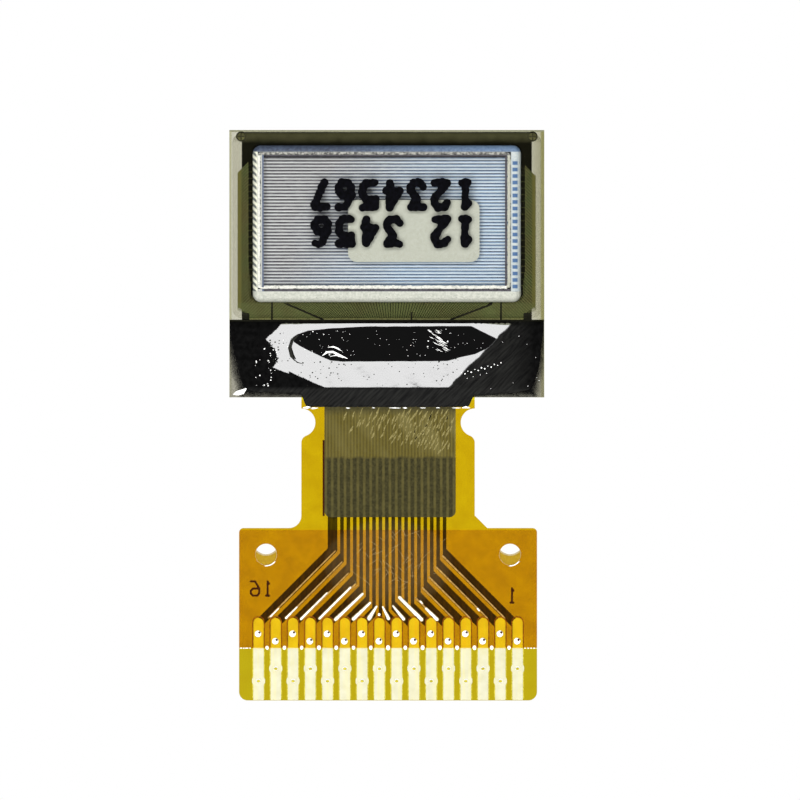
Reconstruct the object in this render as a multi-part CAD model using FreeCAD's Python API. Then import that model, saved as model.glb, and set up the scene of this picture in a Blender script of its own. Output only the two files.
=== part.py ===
import FreeCAD, Part

import math
import os

from FreeCAD import Vector

# A passive-matrix display module: two glasses, a driver die on the ledge, and a flexible solder tail.
# Millimetres. The origin is the centre of the polarizer's front, the face that is looked at.
# +Z points to the back, where the cap and the glue are. +Y points away from the tail.

# Pixels: anode columns below, cathode rows above, each row with a tab at one end
columns = 72
rows = 40
column_pitch = 0.1275
row_pitch = 0.13
column_gap = 0.02
row_gap = 0.026
row_overhang = 0.25
organic_overhang = 0.03
tab_length = 0.28
tab_tip_width = 0.05

# Thin layers on the substrate
layer_thickness = 0.01
track_thickness = 0.02

# Pocket etched into the cap over the pixels
pocket_side_clearance = 0.24
pocket_top_clearance = 0.47
pocket_end_clearance = 0.59
pocket_depth = 0.3
pocket_wall_radius = 0.24
pocket_corner_radius = 0.32

# Lanes of the row tracks beside the pocket, and the tracks' run to the die
track_width = 0.018
lead_width = 0.1
lead_end_width = 0.036
lane_pitch = 0.0265
lane_pocket_margin = 0.07
lane_turn_drop = 0.03
tab_overlap = 0.1
fan_start_drop = 0.3

# Glasses
glass_side_margin = 0.34
glass_top_border = 0.62
cap_end_border = 0.78
substrate_thickness = 0.5
cap_thickness = 0.5
glass_gap = 0.05

# Polarizer on the front, inside the edges of the cap
polarizer_side_margin = 0.5
polarizer_top_margin = 0.08
polarizer_end_margin = 0.06
polarizer_thickness = 0.2

# Seal bead between the glasses
seal_edge_margin = 0.12
seal_pocket_margin = 0.04
seal_corner_radius = 0.4

# Desiccant patch on the pocket's floor
desiccant_width = 5.26
desiccant_height = 2.48
desiccant_thickness = 0.16
desiccant_corner_radius = 0.36
desiccant_offset_x = 1.08
desiccant_offset_y = -0.29

# Alignment marks in the two upper corners
mark_radius = 0.19
mark_line = 0.035
mark_side_margin = 0.47
mark_top_margin = 0.26

# Driver die on the ledge, with one bump for each column and row
bump_pitch = 0.056
bump_inset = 0.09
die_end_margin = 0.244
die_depth = 0.86
die_thickness = 0.3
die_cap_gap = 0.55
die_tail_gap = 0.63
driver_offset_x = 0.13
bond_film_thickness = 0.015
bond_film_margin = 0.1
input_track_width = 0.11

# Copper of the tail: each solder finger has one neck strand, and one finger joins several
fingers = 16
joined_finger = 11
joined_strands = 3
copper_thickness = 0.02
strand_pitch = 0.2565
strand_gap = 0.11
first_strand_extra = 0.24
fan_gap = 0.14
fan_end_drop = 0.08
finger_pitch = 0.691
finger_width = 0.415
bare_finger_length = 2.08
covered_finger_length = 1.2
finger_end_margin = 0.02

# Plated vias of the fingers, which step to and fro: above the cover's end, and above the finger's end
via_radius = 0.09
barrel_wall = 0.03
land_radius = 0.27
odd_cover_via = 0.6
even_cover_via = 0.3
odd_pad_via = 0.76
even_pad_via = 1.26
barrel_sides = 6

# Flat sides that make the round of the smallest discs
round_sides = 12

# Films of the tail
tail_offset_x = 0.05
bond_overlap = 1.0
neck_side_margin = 1.16
neck_length = 5.22
notch_radius = 0.56
notch_drop = 1.0
notch_blend_radius = 0.3
shoulder_radius = 0.5
shoulder_chamfer = 0.5
head_side_margin = 0.432
fan_top_margin = 0.38
head_top_radius = 0.18
head_end_radius = 0.35
base_film_thickness = 0.05
cover_thickness = 0.05
cover_top_margin = 0.08
front_cover_glass_gap = 0.1
locating_hole_radius = 0.43
locating_hole_side_margin = 1.08
locating_hole_drop = 1.06

# Dark cover over the strands of the neck
neck_cover_side_margin = 0.3165
neck_cover_top_gap = 0.38
neck_cover_end_gap = 0.43
neck_cover_radius = 0.25

# Glue over the die and the tail's bond
glue_side_margin = 0.02
glue_skirt_height = 0.17
glue_over_die = 0.125
glue_edge_bevel = 0.05
glue_corner_radius = 0.5
glue_left_gap = 0.55
glue_left_end_gap = 0.36
glue_right_gap = 0.2
glue_right_end_gap = 0.14
glue_end_gap = 0.05
glue_lobe_length = 0.38
glue_lobe_margin = 0.07
glue_crown_margin = 0.62
glue_crown_side_margin = 0.32
glue_foot_end_margin = 0.5
glue_foot_side_margin = 0.27

# Widths and lengths that follow
strands = fingers - 1 + joined_strands
row_half_length = columns * column_pitch / 2 + row_overhang
pocket_width = 2 * (row_half_length + tab_length + pocket_side_clearance)
pocket_height = pocket_top_clearance + rows * row_pitch + pocket_end_clearance
lane_inner_x = pocket_width / 2 + lane_pocket_margin
glass_width = 2 * (lane_inner_x + rows / 2 * lane_pitch + glass_side_margin)
cap_height = glass_top_border + pocket_height + cap_end_border
ledge_depth = die_cap_gap + die_depth + die_tail_gap + bond_overlap
glass_height = cap_height + ledge_depth
polarizer_width = glass_width - 2 * polarizer_side_margin
polarizer_height = cap_height - polarizer_top_margin - polarizer_end_margin
die_length = (columns + rows) * bump_pitch + 2 * die_end_margin
neck_width = strands * strand_pitch + 2 * neck_side_margin
head_width = fingers * finger_pitch + 2 * head_side_margin
finger_length = bare_finger_length + covered_finger_length
fan_run = (fingers * finger_pitch - strands * strand_pitch) / 2
head_height = finger_end_margin + finger_length + fan_run + fan_top_margin
glue_height = bond_film_thickness + die_thickness + glue_over_die

# Heights of the layers
substrate_z = polarizer_thickness
track_z = substrate_z + substrate_thickness
organic_z = track_z + layer_thickness
row_z = track_z + track_thickness
cap_z = track_z + glass_gap
pocket_floor_z = cap_z + pocket_depth
bond_z = track_z + track_thickness
copper_z = bond_z + bond_film_thickness
base_z = copper_z + copper_thickness
pad_z = base_z + base_film_thickness
back_cover_z = pad_z + copper_thickness
front_cover_z = copper_z - cover_thickness

# Lines across the module, from the top of the glass to the end of the tail
glass_top_y = polarizer_height / 2 + polarizer_top_margin
pocket_top_y = glass_top_y - glass_top_border
pocket_end_y = pocket_top_y - pocket_height
rows_top_y = pocket_top_y - pocket_top_clearance
rows_end_y = pocket_end_y + pocket_end_clearance
cap_end_y = pocket_end_y - cap_end_border
glass_end_y = cap_end_y - ledge_depth
die_top_y = cap_end_y - die_cap_gap
die_end_y = die_top_y - die_depth
tail_top_y = glass_end_y + bond_overlap
shoulder_y = glass_end_y - neck_length
tail_end_y = shoulder_y - head_height
cover_top_y = shoulder_y - cover_top_margin
finger_end_y = tail_end_y + finger_end_margin
cover_end_y = finger_end_y + bare_finger_length
finger_top_y = finger_end_y + finger_length
fan_end_y = finger_top_y - fan_end_drop
hole_y = shoulder_y - locating_hole_drop


def prism(points, z, height):
    """A flat piece with straight sides, from its corner points."""
    corners = [Vector(x, y, z) for x, y in points]
    face = Part.Face(Part.makePolygon(corners + corners[:1]))
    return face.extrude(Vector(0, 0, height))


def block(x_low, x_high, y_low, y_high, z, height):
    return prism([(x_low, y_low), (x_high, y_low), (x_high, y_high), (x_low, y_high)], z, height)


def upright_edges(solid, places, reach=1e-4):
    """The solid's vertical edges that stand at the given places."""
    found = []
    for edge in solid.Edges:
        a, b = edge.Vertexes[0].Point, edge.Vertexes[-1].Point
        upright = abs(a.x - b.x) < reach and abs(a.y - b.y) < reach and abs(a.z - b.z) > reach
        if upright and any(math.hypot(a.x - x, a.y - y) < reach for x, y in places):
            found.append(edge)
    return found


def rounded_block(x_low, x_high, y_low, y_high, z, height, radius):
    solid = block(x_low, x_high, y_low, y_high, z, height)
    corners = [(x_low, y_low), (x_high, y_low), (x_high, y_high), (x_low, y_high)]
    return solid.makeFillet(radius, upright_edges(solid, corners))


def disc(x, y, radius, z, height):
    return Part.makeCylinder(radius, height, Vector(x, y, z))


def facet_disc(x, y, radius, z, height, sides):
    """A disc so small that a few flat sides make its round."""
    turns = [2 * math.pi * (i + 0.5) / sides for i in range(sides)]
    points = [(x + radius * math.cos(turn), y + radius * math.sin(turn)) for turn in turns]
    return prism(points, z, height)


def ribbon(points, width, z, height):
    """A flat strip of even width along a line of points, with mitred corners."""
    left, right = [], []
    for i, (x, y) in enumerate(points):
        before = direction(points[max(i - 1, 0)], points[max(i, 1)])
        after = direction(points[min(i, len(points) - 2)], points[min(i + 1, len(points) - 1)])
        nx, ny = -(before[1] + after[1]), before[0] + after[0]
        size = math.hypot(nx, ny)
        nx, ny = nx / size, ny / size
        reach = width / 2 / (-before[1] * nx + before[0] * ny)
        left.append((x + nx * reach, y + ny * reach))
        right.append((x - nx * reach, y - ny * reach))
    return prism(left + right[::-1], z, height)


def direction(start, end):
    dx, dy = end[0] - start[0], end[1] - start[1]
    size = math.hypot(dx, dy)
    return dx / size, dy / size


def polarizer():
    half_width, half_height = polarizer_width / 2, polarizer_height / 2
    return block(-half_width, half_width, -half_height, half_height, 0, polarizer_thickness)


def substrate_glass():
    half = glass_width / 2
    return block(-half, half, glass_end_y, glass_top_y, substrate_z, substrate_thickness)


def pocket_tool():
    """The etched hollow. Its wall meets the floor in a quarter round."""
    half = pocket_width / 2
    low, high = pocket_end_y, pocket_top_y
    tool = rounded_block(-half, half, low, high, cap_z, pocket_depth, pocket_corner_radius)
    floor_edges = [e for e in tool.Edges if all(abs(v.Z - pocket_floor_z) < 1e-6 for v in e.Vertexes)]
    return tool.makeFillet(pocket_wall_radius, floor_edges)


def cap_glass():
    half = glass_width / 2
    cap = block(-half, half, cap_end_y, glass_top_y, cap_z, cap_thickness)
    return cap.cut(pocket_tool())


def seal_bead():
    z = track_z + track_thickness
    height = cap_z - z
    half = glass_width / 2 - seal_edge_margin
    low, high = cap_end_y + seal_edge_margin, glass_top_y - seal_edge_margin
    outside = rounded_block(-half, half, low, high, z, height, seal_corner_radius)
    half = pocket_width / 2 + seal_pocket_margin
    low, high = pocket_end_y - seal_pocket_margin, pocket_top_y + seal_pocket_margin
    inside = rounded_block(-half, half, low, high, z, height, pocket_corner_radius)
    return outside.cut(inside)


def desiccant():
    x, y = desiccant_offset_x, (pocket_top_y + pocket_end_y) / 2 + desiccant_offset_y
    left, right = x - desiccant_width / 2, x + desiccant_width / 2
    low, high = y - desiccant_height / 2, y + desiccant_height / 2
    z = pocket_floor_z - desiccant_thickness
    return rounded_block(left, right, low, high, z, desiccant_thickness, desiccant_corner_radius)


def column_x(column):
    return (column - (columns - 1) / 2) * column_pitch


def row_y(row):
    return rows_top_y - (row + 0.5) * row_pitch


def row_side(row):
    """Rows leave to the left and to the right by turns."""
    return -1 if row % 2 == 0 else 1


def anode_columns():
    half = (column_pitch - column_gap) / 2
    strips = []
    for column in range(columns):
        x = column_x(column)
        strips.append(block(x - half, x + half, rows_end_y, rows_top_y, track_z, layer_thickness))
    return Part.Compound(strips)


def organic_layer():
    half = columns * column_pitch / 2 + organic_overhang
    height = row_z - organic_z
    return block(-half, half, rows_end_y, rows_top_y, organic_z, height)


def cathode_rows():
    """Metal strips across the columns, each with a tapered tab at the side where it leaves."""
    half = (row_pitch - row_gap) / 2
    strips = []
    for row in range(rows):
        y, side = row_y(row), row_side(row)
        end, tip = row_half_length * side, (row_half_length + tab_length) * side
        lower = [(-end, y - half), (end, y - half), (tip, y - tab_tip_width / 2)]
        upper = [(x, 2 * y - other) for x, other in reversed(lower)]
        strips.append(prism(lower + upper, row_z, layer_thickness))
    return Part.Compound(strips)


def output_place(number):
    """The die's bump for a track, counted in bumps from the middle of its output side."""
    return driver_offset_x + number * bump_pitch, die_top_y - bump_inset


def row_tracks(side):
    """Each row's track runs out to its lane, down the border, and in to the end of the die."""
    tracks = []
    mine = [row for row in range(rows) if row_side(row) == side]
    for lane, row in enumerate(mine):
        steps = len(mine) - lane
        x_start = side * (row_half_length + tab_length - tab_overlap)
        x_lane = side * (lane_inner_x + steps * lane_pitch)
        turn_y = rows_end_y - fan_start_drop - steps * lane_turn_drop
        bump = output_place(side * (columns / 2 + steps - 0.5))
        points = [(x_start, row_y(row)), (x_lane, row_y(row)), (x_lane, turn_y), bump]
        tracks.append(ribbon(points, track_width, track_z, track_thickness))
    return Part.Compound(tracks)


def column_tracks():
    """Each column's lead drops below the pixels, and narrows as it slants in to the middle of the die."""
    wide, narrow = lead_width / 2, lead_end_width / 2
    bend_y = rows_end_y - fan_start_drop
    tracks = []
    for column in range(columns):
        x = column_x(column)
        bump_x, bump_y = output_place(column - (columns - 1) / 2)
        left = [(x - wide, rows_end_y), (x - wide, bend_y), (bump_x - narrow, bump_y)]
        right = [(bump_x + narrow, bump_y), (x + wide, bend_y), (x + wide, rows_end_y)]
        tracks.append(prism(left + right, track_z, track_thickness))
    return Part.Compound(tracks)


def alignment_marks():
    marks = []
    for side in (-1, 1):
        x, y = side * (glass_width / 2 - mark_side_margin), glass_top_y - mark_top_margin
        ring = facet_disc(x, y, mark_radius, track_z, layer_thickness, round_sides)
        hollow = facet_disc(x, y, mark_radius - mark_line, track_z, layer_thickness, round_sides)
        reach, half = mark_radius - mark_line / 2, mark_line / 2
        across = block(x - reach, x + reach, y - half, y + half, track_z, layer_thickness)
        upright = block(x - half, x + half, y - reach, y + reach, track_z, layer_thickness)
        marks.append(ring.cut(hollow).fuse([across, upright]).removeSplitter())
    return Part.Compound(marks)


def die_block(margin, z, height):
    half = die_length / 2 + margin
    x = driver_offset_x
    return block(x - half, x + half, die_end_y - margin, die_top_y + margin, z, height)


def driver_die():
    return die_block(0, bond_z + bond_film_thickness, die_thickness)


def die_bond_film():
    return die_block(bond_film_margin, bond_z, bond_film_thickness)


def strand_x(line):
    """The middle of the gap after strand number line, or the outer edge line beside the last strand."""
    x = driver_offset_x + (line - strands / 2) * strand_pitch
    return x - first_strand_extra if line == 0 else x


def finger_x(finger):
    """The middle of a finger, counted from 1 at the left."""
    return tail_offset_x + (finger - (fingers + 1) / 2) * finger_pitch


def joint_x(line):
    """The middle of the space between finger number line and the next."""
    return finger_x(line) + finger_pitch / 2


def finger_lines(finger):
    """The strand gaps that bound a finger's conductor on its left and right."""
    extra = joined_strands - 1
    left = finger - 1 if finger <= joined_finger else finger - 1 + extra
    right = finger if finger < joined_finger else finger + extra
    return left, right


def tail_bond_film():
    return block(strand_x(0), strand_x(strands), glass_end_y, tail_top_y, bond_z, bond_film_thickness)


def input_tracks():
    """Tracks from the tail's bond to the die, one for each strand."""
    tracks = []
    spread = (die_length - 2 * die_end_margin) / strands
    for strand in range(strands):
        number = strand - (strands - 1) / 2
        x = driver_offset_x + number * strand_pitch
        bump = (driver_offset_x + number * spread, die_end_y + bump_inset)
        points = [(x, glass_end_y), (x, tail_top_y), bump]
        tracks.append(ribbon(points, input_track_width, track_z, track_thickness))
    return Part.Compound(tracks)


def conductor_edge(line, finger, side):
    """One edge of a conductor: down the neck, along the 45 degree fan, and into its finger.

    side is 1 for the edge to the right of the gap line, and -1 for the edge to its left.
    """
    x_neck, x_joint = strand_x(line), joint_x(finger - 1 if side > 0 else finger)
    lean = 1 if x_neck > x_joint else -1
    neck_shift, fan_shift = strand_gap / 2, fan_gap / 2 * math.sqrt(2)
    x_edge = x_neck + side * neck_shift
    x_finger = finger_x(finger) - side * finger_width / 2
    bend_y = fan_end_y + lean * (x_edge - x_joint - side * fan_shift)
    meet_y = fan_end_y + lean * (x_finger - x_joint - side * fan_shift)
    return [(x_edge, tail_top_y), (x_edge, bend_y), (x_finger, meet_y), (x_finger, finger_end_y)]


def via_places(finger):
    """The middle of the covered via and of the via in the bare pad, which step to and fro."""
    odd = finger % 2 == 1
    cover_via = cover_end_y + (odd_cover_via if odd else even_cover_via)
    pad_via = finger_end_y + (odd_pad_via if odd else even_pad_via)
    return cover_via, pad_via


def finger_plate(finger):
    """The finger on the back of the film: a round head, and a round land at the via of its pad."""
    x, half = finger_x(finger), finger_width / 2
    turns = [math.pi * i / round_sides for i in range(round_sides + 1)]
    outline = [(x + half * math.cos(t), finger_top_y - half + half * math.sin(t)) for t in turns]
    outline += [(x - half, finger_end_y), (x + half, finger_end_y)]
    land = facet_disc(x, via_places(finger)[1], land_radius, pad_z, copper_thickness, round_sides)
    return prism(outline, pad_z, copper_thickness).fuse(land).removeSplitter()


def conductor(finger):
    """One etched and plated piece: neck strand, fan-out run, front finger, vias and back finger."""
    left, right = finger_lines(finger)
    outline = conductor_edge(left, finger, 1) + conductor_edge(right, finger, -1)[::-1]
    front = prism(outline, copper_z, copper_thickness)
    for line in range(left + 1, right):
        front = front.cut(strand_slit(line, finger, left, right))
    x, height = finger_x(finger), back_cover_z - copper_z
    bores = [facet_disc(x, y, via_radius, copper_z, height, round_sides) for y in via_places(finger)]
    body = front.fuse(barrels(finger) + [finger_plate(finger)])
    return body.cut(Part.Compound(bores)).removeSplitter()


def strand_slit(line, finger, left, right):
    """The space between two strands of one conductor. The slits end in step with its slanted edge."""
    x, half = strand_x(line), strand_gap / 2
    left_bend = conductor_edge(left, finger, 1)[1]
    right_bend = conductor_edge(right, finger, -1)[1]
    leans_right = strand_x(left) < joint_x(finger - 1)
    if leans_right:
        end_y = left_bend[1] - (line - left - 1) * strand_pitch
    else:
        end_y = right_bend[1] - (right - line - 1) * strand_pitch
    return block(x - half, x + half, end_y, tail_top_y, copper_z, copper_thickness)


def barrels(finger):
    """The plated tubes that join a finger's two faces through the film."""
    radius = via_radius + barrel_wall
    x, height = finger_x(finger), base_film_thickness
    return [facet_disc(x, y, radius, base_z, height, barrel_sides) for y in via_places(finger)]


def hole_tools(z, height):
    """The two locating holes, which go through every film of the tail."""
    half = head_width / 2 - locating_hole_side_margin
    return [
        disc(tail_offset_x + side * half, hole_y, locating_hole_radius, z, height) for side in (-1, 1)
    ]


def tail_outline(z, height):
    """The cut shape of the tail: ears at the bond, round notches, neck, shoulders and head."""
    x = tail_offset_x
    neck_low, neck_high = x - neck_width / 2, x + neck_width / 2
    head_low, head_high = x - head_width / 2, x + head_width / 2
    points = [
        (neck_low, tail_top_y),
        (neck_low, shoulder_y),
        (head_low, shoulder_y),
        (head_low, tail_end_y),
        (head_high, tail_end_y),
        (head_high, shoulder_y),
        (neck_high, shoulder_y),
        (neck_high, tail_top_y),
    ]
    film = prism(points, z, height)
    film = film.makeFillet(shoulder_radius, upright_edges(film, [(neck_low, shoulder_y)]))
    film = film.makeChamfer(shoulder_chamfer, upright_edges(film, [(neck_high, shoulder_y)]))
    tops = upright_edges(film, [(head_low, shoulder_y), (head_high, shoulder_y)])
    film = film.makeFillet(head_top_radius, tops)
    ends = upright_edges(film, [(head_low, tail_end_y), (head_high, tail_end_y)])
    film = film.makeFillet(head_end_radius, ends)
    notch_y = glass_end_y - notch_drop
    notches = [disc(side, notch_y, notch_radius, z, height) for side in (neck_low, neck_high)]
    film = film.cut(Part.Compound(notches))
    notch_ends = [(side, notch_y - notch_radius) for side in (neck_low, neck_high)]
    return film.makeFillet(notch_blend_radius, upright_edges(film, notch_ends))


def tail_base_film():
    film = tail_outline(base_z, base_film_thickness)
    vias = [barrel for finger in range(1, fingers + 1) for barrel in barrels(finger)]
    return film.cut(Part.Compound(vias + hole_tools(base_z, base_film_thickness)))


def cover_film(z, top_y):
    """A cover that leaves the pads bare. On the back it ends at the head, on the front near the glass."""
    film = tail_outline(z, cover_thickness)
    reach = head_width
    window = block(-reach, reach, cover_end_y, top_y, z, cover_thickness)
    return film.common(window).cut(Part.Compound(hole_tools(z, cover_thickness)))


def neck_cover():
    x, half = driver_offset_x, strands * strand_pitch / 2 + neck_cover_side_margin
    low, high = shoulder_y + neck_cover_end_gap, glass_end_y - neck_cover_top_gap
    return rounded_block(x - half, x + half, low, high, pad_z, cover_thickness, neck_cover_radius)


def oval_wire(x, y, length, width, z):
    """A long oval with round ends."""
    straight, radius = (length - width) / 2, width / 2
    a, b = Vector(x - straight, y + radius, z), Vector(x + straight, y + radius, z)
    c, d = Vector(x + straight, y - radius, z), Vector(x - straight, y - radius, z)
    right, left = Vector(x + straight + radius, y, z), Vector(x - straight - radius, y, z)
    edges = [
        Part.LineSegment(a, b).toShape(),
        Part.Arc(b, right, c).toShape(),
        Part.LineSegment(c, d).toShape(),
        Part.Arc(d, left, a).toShape(),
    ]
    return Part.Wire(edges)


def glue_dome():
    """The bulge over the die, from a wide foot to a flat oval crown."""
    x, y = driver_offset_x, (die_top_y + die_end_y) / 2
    foot_y = (cap_end_y + glass_end_y) / 2
    foot_z, crown_z = bond_z + glue_skirt_height / 2, bond_z + glue_height
    foot_length, foot_width = glass_width - 2 * glue_foot_end_margin, ledge_depth - 2 * glue_foot_side_margin
    crown_length, crown_width = die_length + 2 * glue_crown_margin, die_depth + 2 * glue_crown_side_margin
    sections = []
    for inward, upward in ((0, 0), (0.35, 0.6), (0.7, 0.9), (1, 1)):
        length = foot_length + (crown_length - foot_length) * inward
        width = foot_width + (crown_width - foot_width) * inward
        middle_y = foot_y + (y - foot_y) * inward
        sections.append(oval_wire(x, middle_y, length, width, foot_z + (crown_z - foot_z) * upward))
    return Part.makeLoft(sections, True, True)


def glue_skirt():
    """The thin even part that covers the ledge and laps over the tail."""
    half = glass_width / 2 - glue_side_margin
    lobe_half = neck_width / 2 - glue_lobe_margin
    low, high = tail_offset_x - lobe_half, tail_offset_x + lobe_half
    left_corner = (glue_left_gap - half, glass_end_y + glue_left_end_gap)
    right_corner = (half - glue_right_gap, glass_end_y + glue_right_end_gap)
    end_y = glass_end_y + glue_end_gap
    left_end, right_end = (-half, cap_end_y), (half, cap_end_y)
    outline = [left_end, left_corner, (low, end_y), (high, end_y), right_corner, right_end]
    skirt = prism(outline, bond_z, glue_skirt_height)
    skirt = skirt.makeFillet(glue_corner_radius, upright_edges(skirt, [left_corner, right_corner]))
    lobe_end_y = glass_end_y - glue_lobe_length
    lobe = block(low, high, lobe_end_y, tail_top_y, pad_z, bond_z + glue_skirt_height - pad_z)
    lobe_corners = [(low, lobe_end_y), (high, lobe_end_y)]
    lobe = lobe.makeFillet(glue_lobe_length / 2, upright_edges(lobe, lobe_corners))
    skirt = skirt.fuse(lobe).removeSplitter()
    return skirt.makeChamfer(glue_edge_bevel, free_rims(skirt))


def free_rims(skirt, reach=1e-6):
    """The skirt's upper edges, apart from the one against the cap."""
    top_z = skirt.BoundBox.ZMax
    upper = [e for e in skirt.Edges if e.BoundBox.ZMin > top_z - reach]
    return [e for e in upper if e.BoundBox.YMin < cap_end_y - reach]


def glue():
    """Black glue: it closes round the die, its bond film and the end of the tail."""
    body = glue_skirt().fuse(glue_dome()).removeSplitter()
    seats = [driver_die(), die_bond_film(), tail_outline(bond_z, pad_z - bond_z)]
    return body.cut(Part.Compound(seats))


def pieces():
    made = {
        "polarizer": polarizer(),
        "substrate_glass": substrate_glass(),
        "cap_glass": cap_glass(),
        "seal_bead": seal_bead(),
        "desiccant_patch": desiccant(),
        "anode_columns": anode_columns(),
        "organic_layer": organic_layer(),
        "cathode_rows": cathode_rows(),
        "left_row_tracks": row_tracks(-1),
        "right_row_tracks": row_tracks(1),
        "column_tracks": column_tracks(),
        "input_tracks": input_tracks(),
        "alignment_marks": alignment_marks(),
        "driver_die": driver_die(),
        "die_bond_film": die_bond_film(),
        "tail_bond_film": tail_bond_film(),
        "glue": glue(),
        "tail_base_film": tail_base_film(),
        "tail_front_cover": cover_film(front_cover_z, glass_end_y - front_cover_glass_gap),
        "tail_back_cover": cover_film(back_cover_z, cover_top_y),
        "neck_cover": neck_cover(),
    }
    for finger in range(1, fingers + 1):
        made[f"conductor_{finger:02d}"] = conductor(finger)
    return made


os.makedirs("parts", exist_ok=True)
for name, shape in pieces().items():
    shape.exportStep(f"parts/{name}.step")
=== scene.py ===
import math
import random

import bmesh
import bpy
import numpy as np
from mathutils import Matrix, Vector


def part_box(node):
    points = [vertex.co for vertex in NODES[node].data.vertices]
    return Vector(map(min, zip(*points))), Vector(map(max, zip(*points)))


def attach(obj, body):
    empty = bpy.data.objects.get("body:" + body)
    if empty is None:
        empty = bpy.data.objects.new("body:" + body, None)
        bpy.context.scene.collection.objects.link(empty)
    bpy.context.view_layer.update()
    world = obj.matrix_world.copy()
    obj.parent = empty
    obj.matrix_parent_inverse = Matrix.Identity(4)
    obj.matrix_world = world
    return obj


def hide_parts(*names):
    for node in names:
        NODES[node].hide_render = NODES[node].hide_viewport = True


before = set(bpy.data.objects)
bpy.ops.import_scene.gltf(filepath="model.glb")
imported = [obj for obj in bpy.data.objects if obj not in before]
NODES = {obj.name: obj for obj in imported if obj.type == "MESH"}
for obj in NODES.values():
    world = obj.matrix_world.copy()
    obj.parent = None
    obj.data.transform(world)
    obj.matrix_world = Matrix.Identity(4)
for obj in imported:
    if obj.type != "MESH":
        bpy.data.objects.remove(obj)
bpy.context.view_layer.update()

MM = 0.001

# The camera looks straight down on the back of the module. Places and sizes are in mm in the part's frame.
VIEW_CENTRE = (0.528, -6.96)
VIEW_WIDTH = 32.0
CAMERA_HEIGHT = 90.0

# Places marked as pixels count from the upper left corner of the picture
PIXELS_PER_MM = 25.0
ORIGIN_PIXEL = (386.8, 226.0)

# Soft boxes round the camera: how far to the side, how high, and how deep each one is
BOX_REACH = 100.0
BOX_HEIGHT = 200.0
BOX_DEPTH = 70.0
BOX_LENGTH = 270.0
BOX_RADIANCE = 8.0
FLOOR_REACH = 400.0
FLOOR_DROP = 0.02

# See-through solids are drawn this much smaller, so that no two faces lie in one plane
SHRINK = 0.0015
# Thin marks reach this far into the face that carries them
SINK = 0.0005

# Ink code on the cap, upside down in this view: size, pitch, and each line with its right digit's centre
INK_WIDTH = 0.5
INK_HEIGHT = 0.98
INK_PITCH = 0.96
INK_DOT = 0.16
INK_LINES = (("12 3456", 3.13, -0.22), ("1234567", 3.13, 1.24))

# Numbers of the first and last pin: each digit with its width and its centre's pixel
PIN_DIGITS = (("1", 0.24, (267.6, 588.5)), ("6", 0.34, (255, 588.5)), ("1", 0.24, (512, 595.5)))
PIN_HEIGHT = 0.57
PIN_DOT = 0.042

# Etched ridge round the pocket's floor, and the line where the frosted rim outside it begins
RIDGE_LEFT, RIDGE_RIGHT = -5.12, 4.89
RIDGE_LOW, RIDGE_HIGH = -2.45, 2.91
RIDGE_RADIUS = 0.075
RIDGE_CORNER = 0.16
ROW_PITCH = 0.13
ROWS_START = -4.93

# Glue: flat crown over the die, even slope round it, and the skirt beyond
CROWN = (
    (-3.75, -4.5), (-3.53, -4.35), (-3.13, -4.21), (-2.2, -4.12), (-0.8, -4.05), (3.37, -4.03),
    (4.43, -4.57), (4.3, -4.72), (3.53, -5.1), (2.89, -5.24), (2.4, -5.38),
    (-1.75, -5.4), (-2.23, -5.36), (-2.6, -5.2), (-3.03, -5.0), (-3.43, -4.8), (-3.69, -4.62),
)
SLOPE_END = (
    (-4.19, -3.9), (-4.45, -4.17), (-4.84, -4.52), (-4.6, -4.78), (-4.44, -4.99), (-4.37, -5.34),
    (-4.44, -5.5), (-4.55, -5.66), (-4.25, -5.78), (-3.97, -5.88), (-3.35, -6.06), (-2.9, -6.28),
    (-2.46, -6.46), (5.0, -6.46), (5.0, -3.895),
)
CROWN_HEIGHT = 0.43
SLOPE_DEGREES = 15.0
SLOPE_WIDTH, LEFT_SLOPE_WIDTH = 1.12, 1.42
GLUE_EDGE_ROUND = 0.15
GLUE_END_LINE = (
    (-6.27, -3.95), (-6.2, -4.6), (-5.78, -6.24), (-5.7, -6.46), (-5.35, -6.62), (-3.6, -6.74),
    (3.7, -6.8), (5.1, -6.68), (5.7, -6.54), (5.92, -6.2), (6.11, -5.56), (6.26, -3.95),
)
GLUE_COLUMNS, GLUE_ROWS, BED_ROWS = 560, 140, 7
LOBE_LEFT, LOBE_RIGHT, LOBE_END = -3.4, 3.45, -7.24
SATIN_LINE = 8.9
SATIN_FRONT = -6.46

# Tail: fingers with their shades and vias, where the pads are bare, strands, fan, scuffed film, holes
FINGERS = 16
FINGER_PITCH = 0.691
FIRST_FINGER = -5.1325
FINGER_HALF = 0.2075
FINGER_SHADE = 0.042
HEAD_TOP = -15.64
COVER_END = -16.88
SHADES_END = -18.92
COVERED_VIAS = (633.3, 640.7)
BARE_VIAS = (681.2, 668.8)
STRAND_PITCH = 0.2565
FIRST_GAP = -1.928
FAN_LOW, FAN_HIGH = -16.05, -12.35
RUNS_TOP = 0.78
FAN_DROP_LEFT, FAN_DROP_RIGHT = 0.152, 0.26
SCUFF_CENTRE, SCUFF_REACH = (0.05, -13.5), (2.3, 1.6)
HOLES = ((-4.83, -13.14), (4.93, -13.14))
HOLE_WALL = 0.428

MATERIALS = {}


def linear(red, green, blue):
    """A screen colour of 0 to 255 as the linear colour that a shader takes."""
    shares = [value / 255 for value in (red, green, blue)]
    return tuple(s / 12.92 if s < 0.04045 else ((s + 0.055) / 1.055) ** 2.4 for s in shares)


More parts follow.
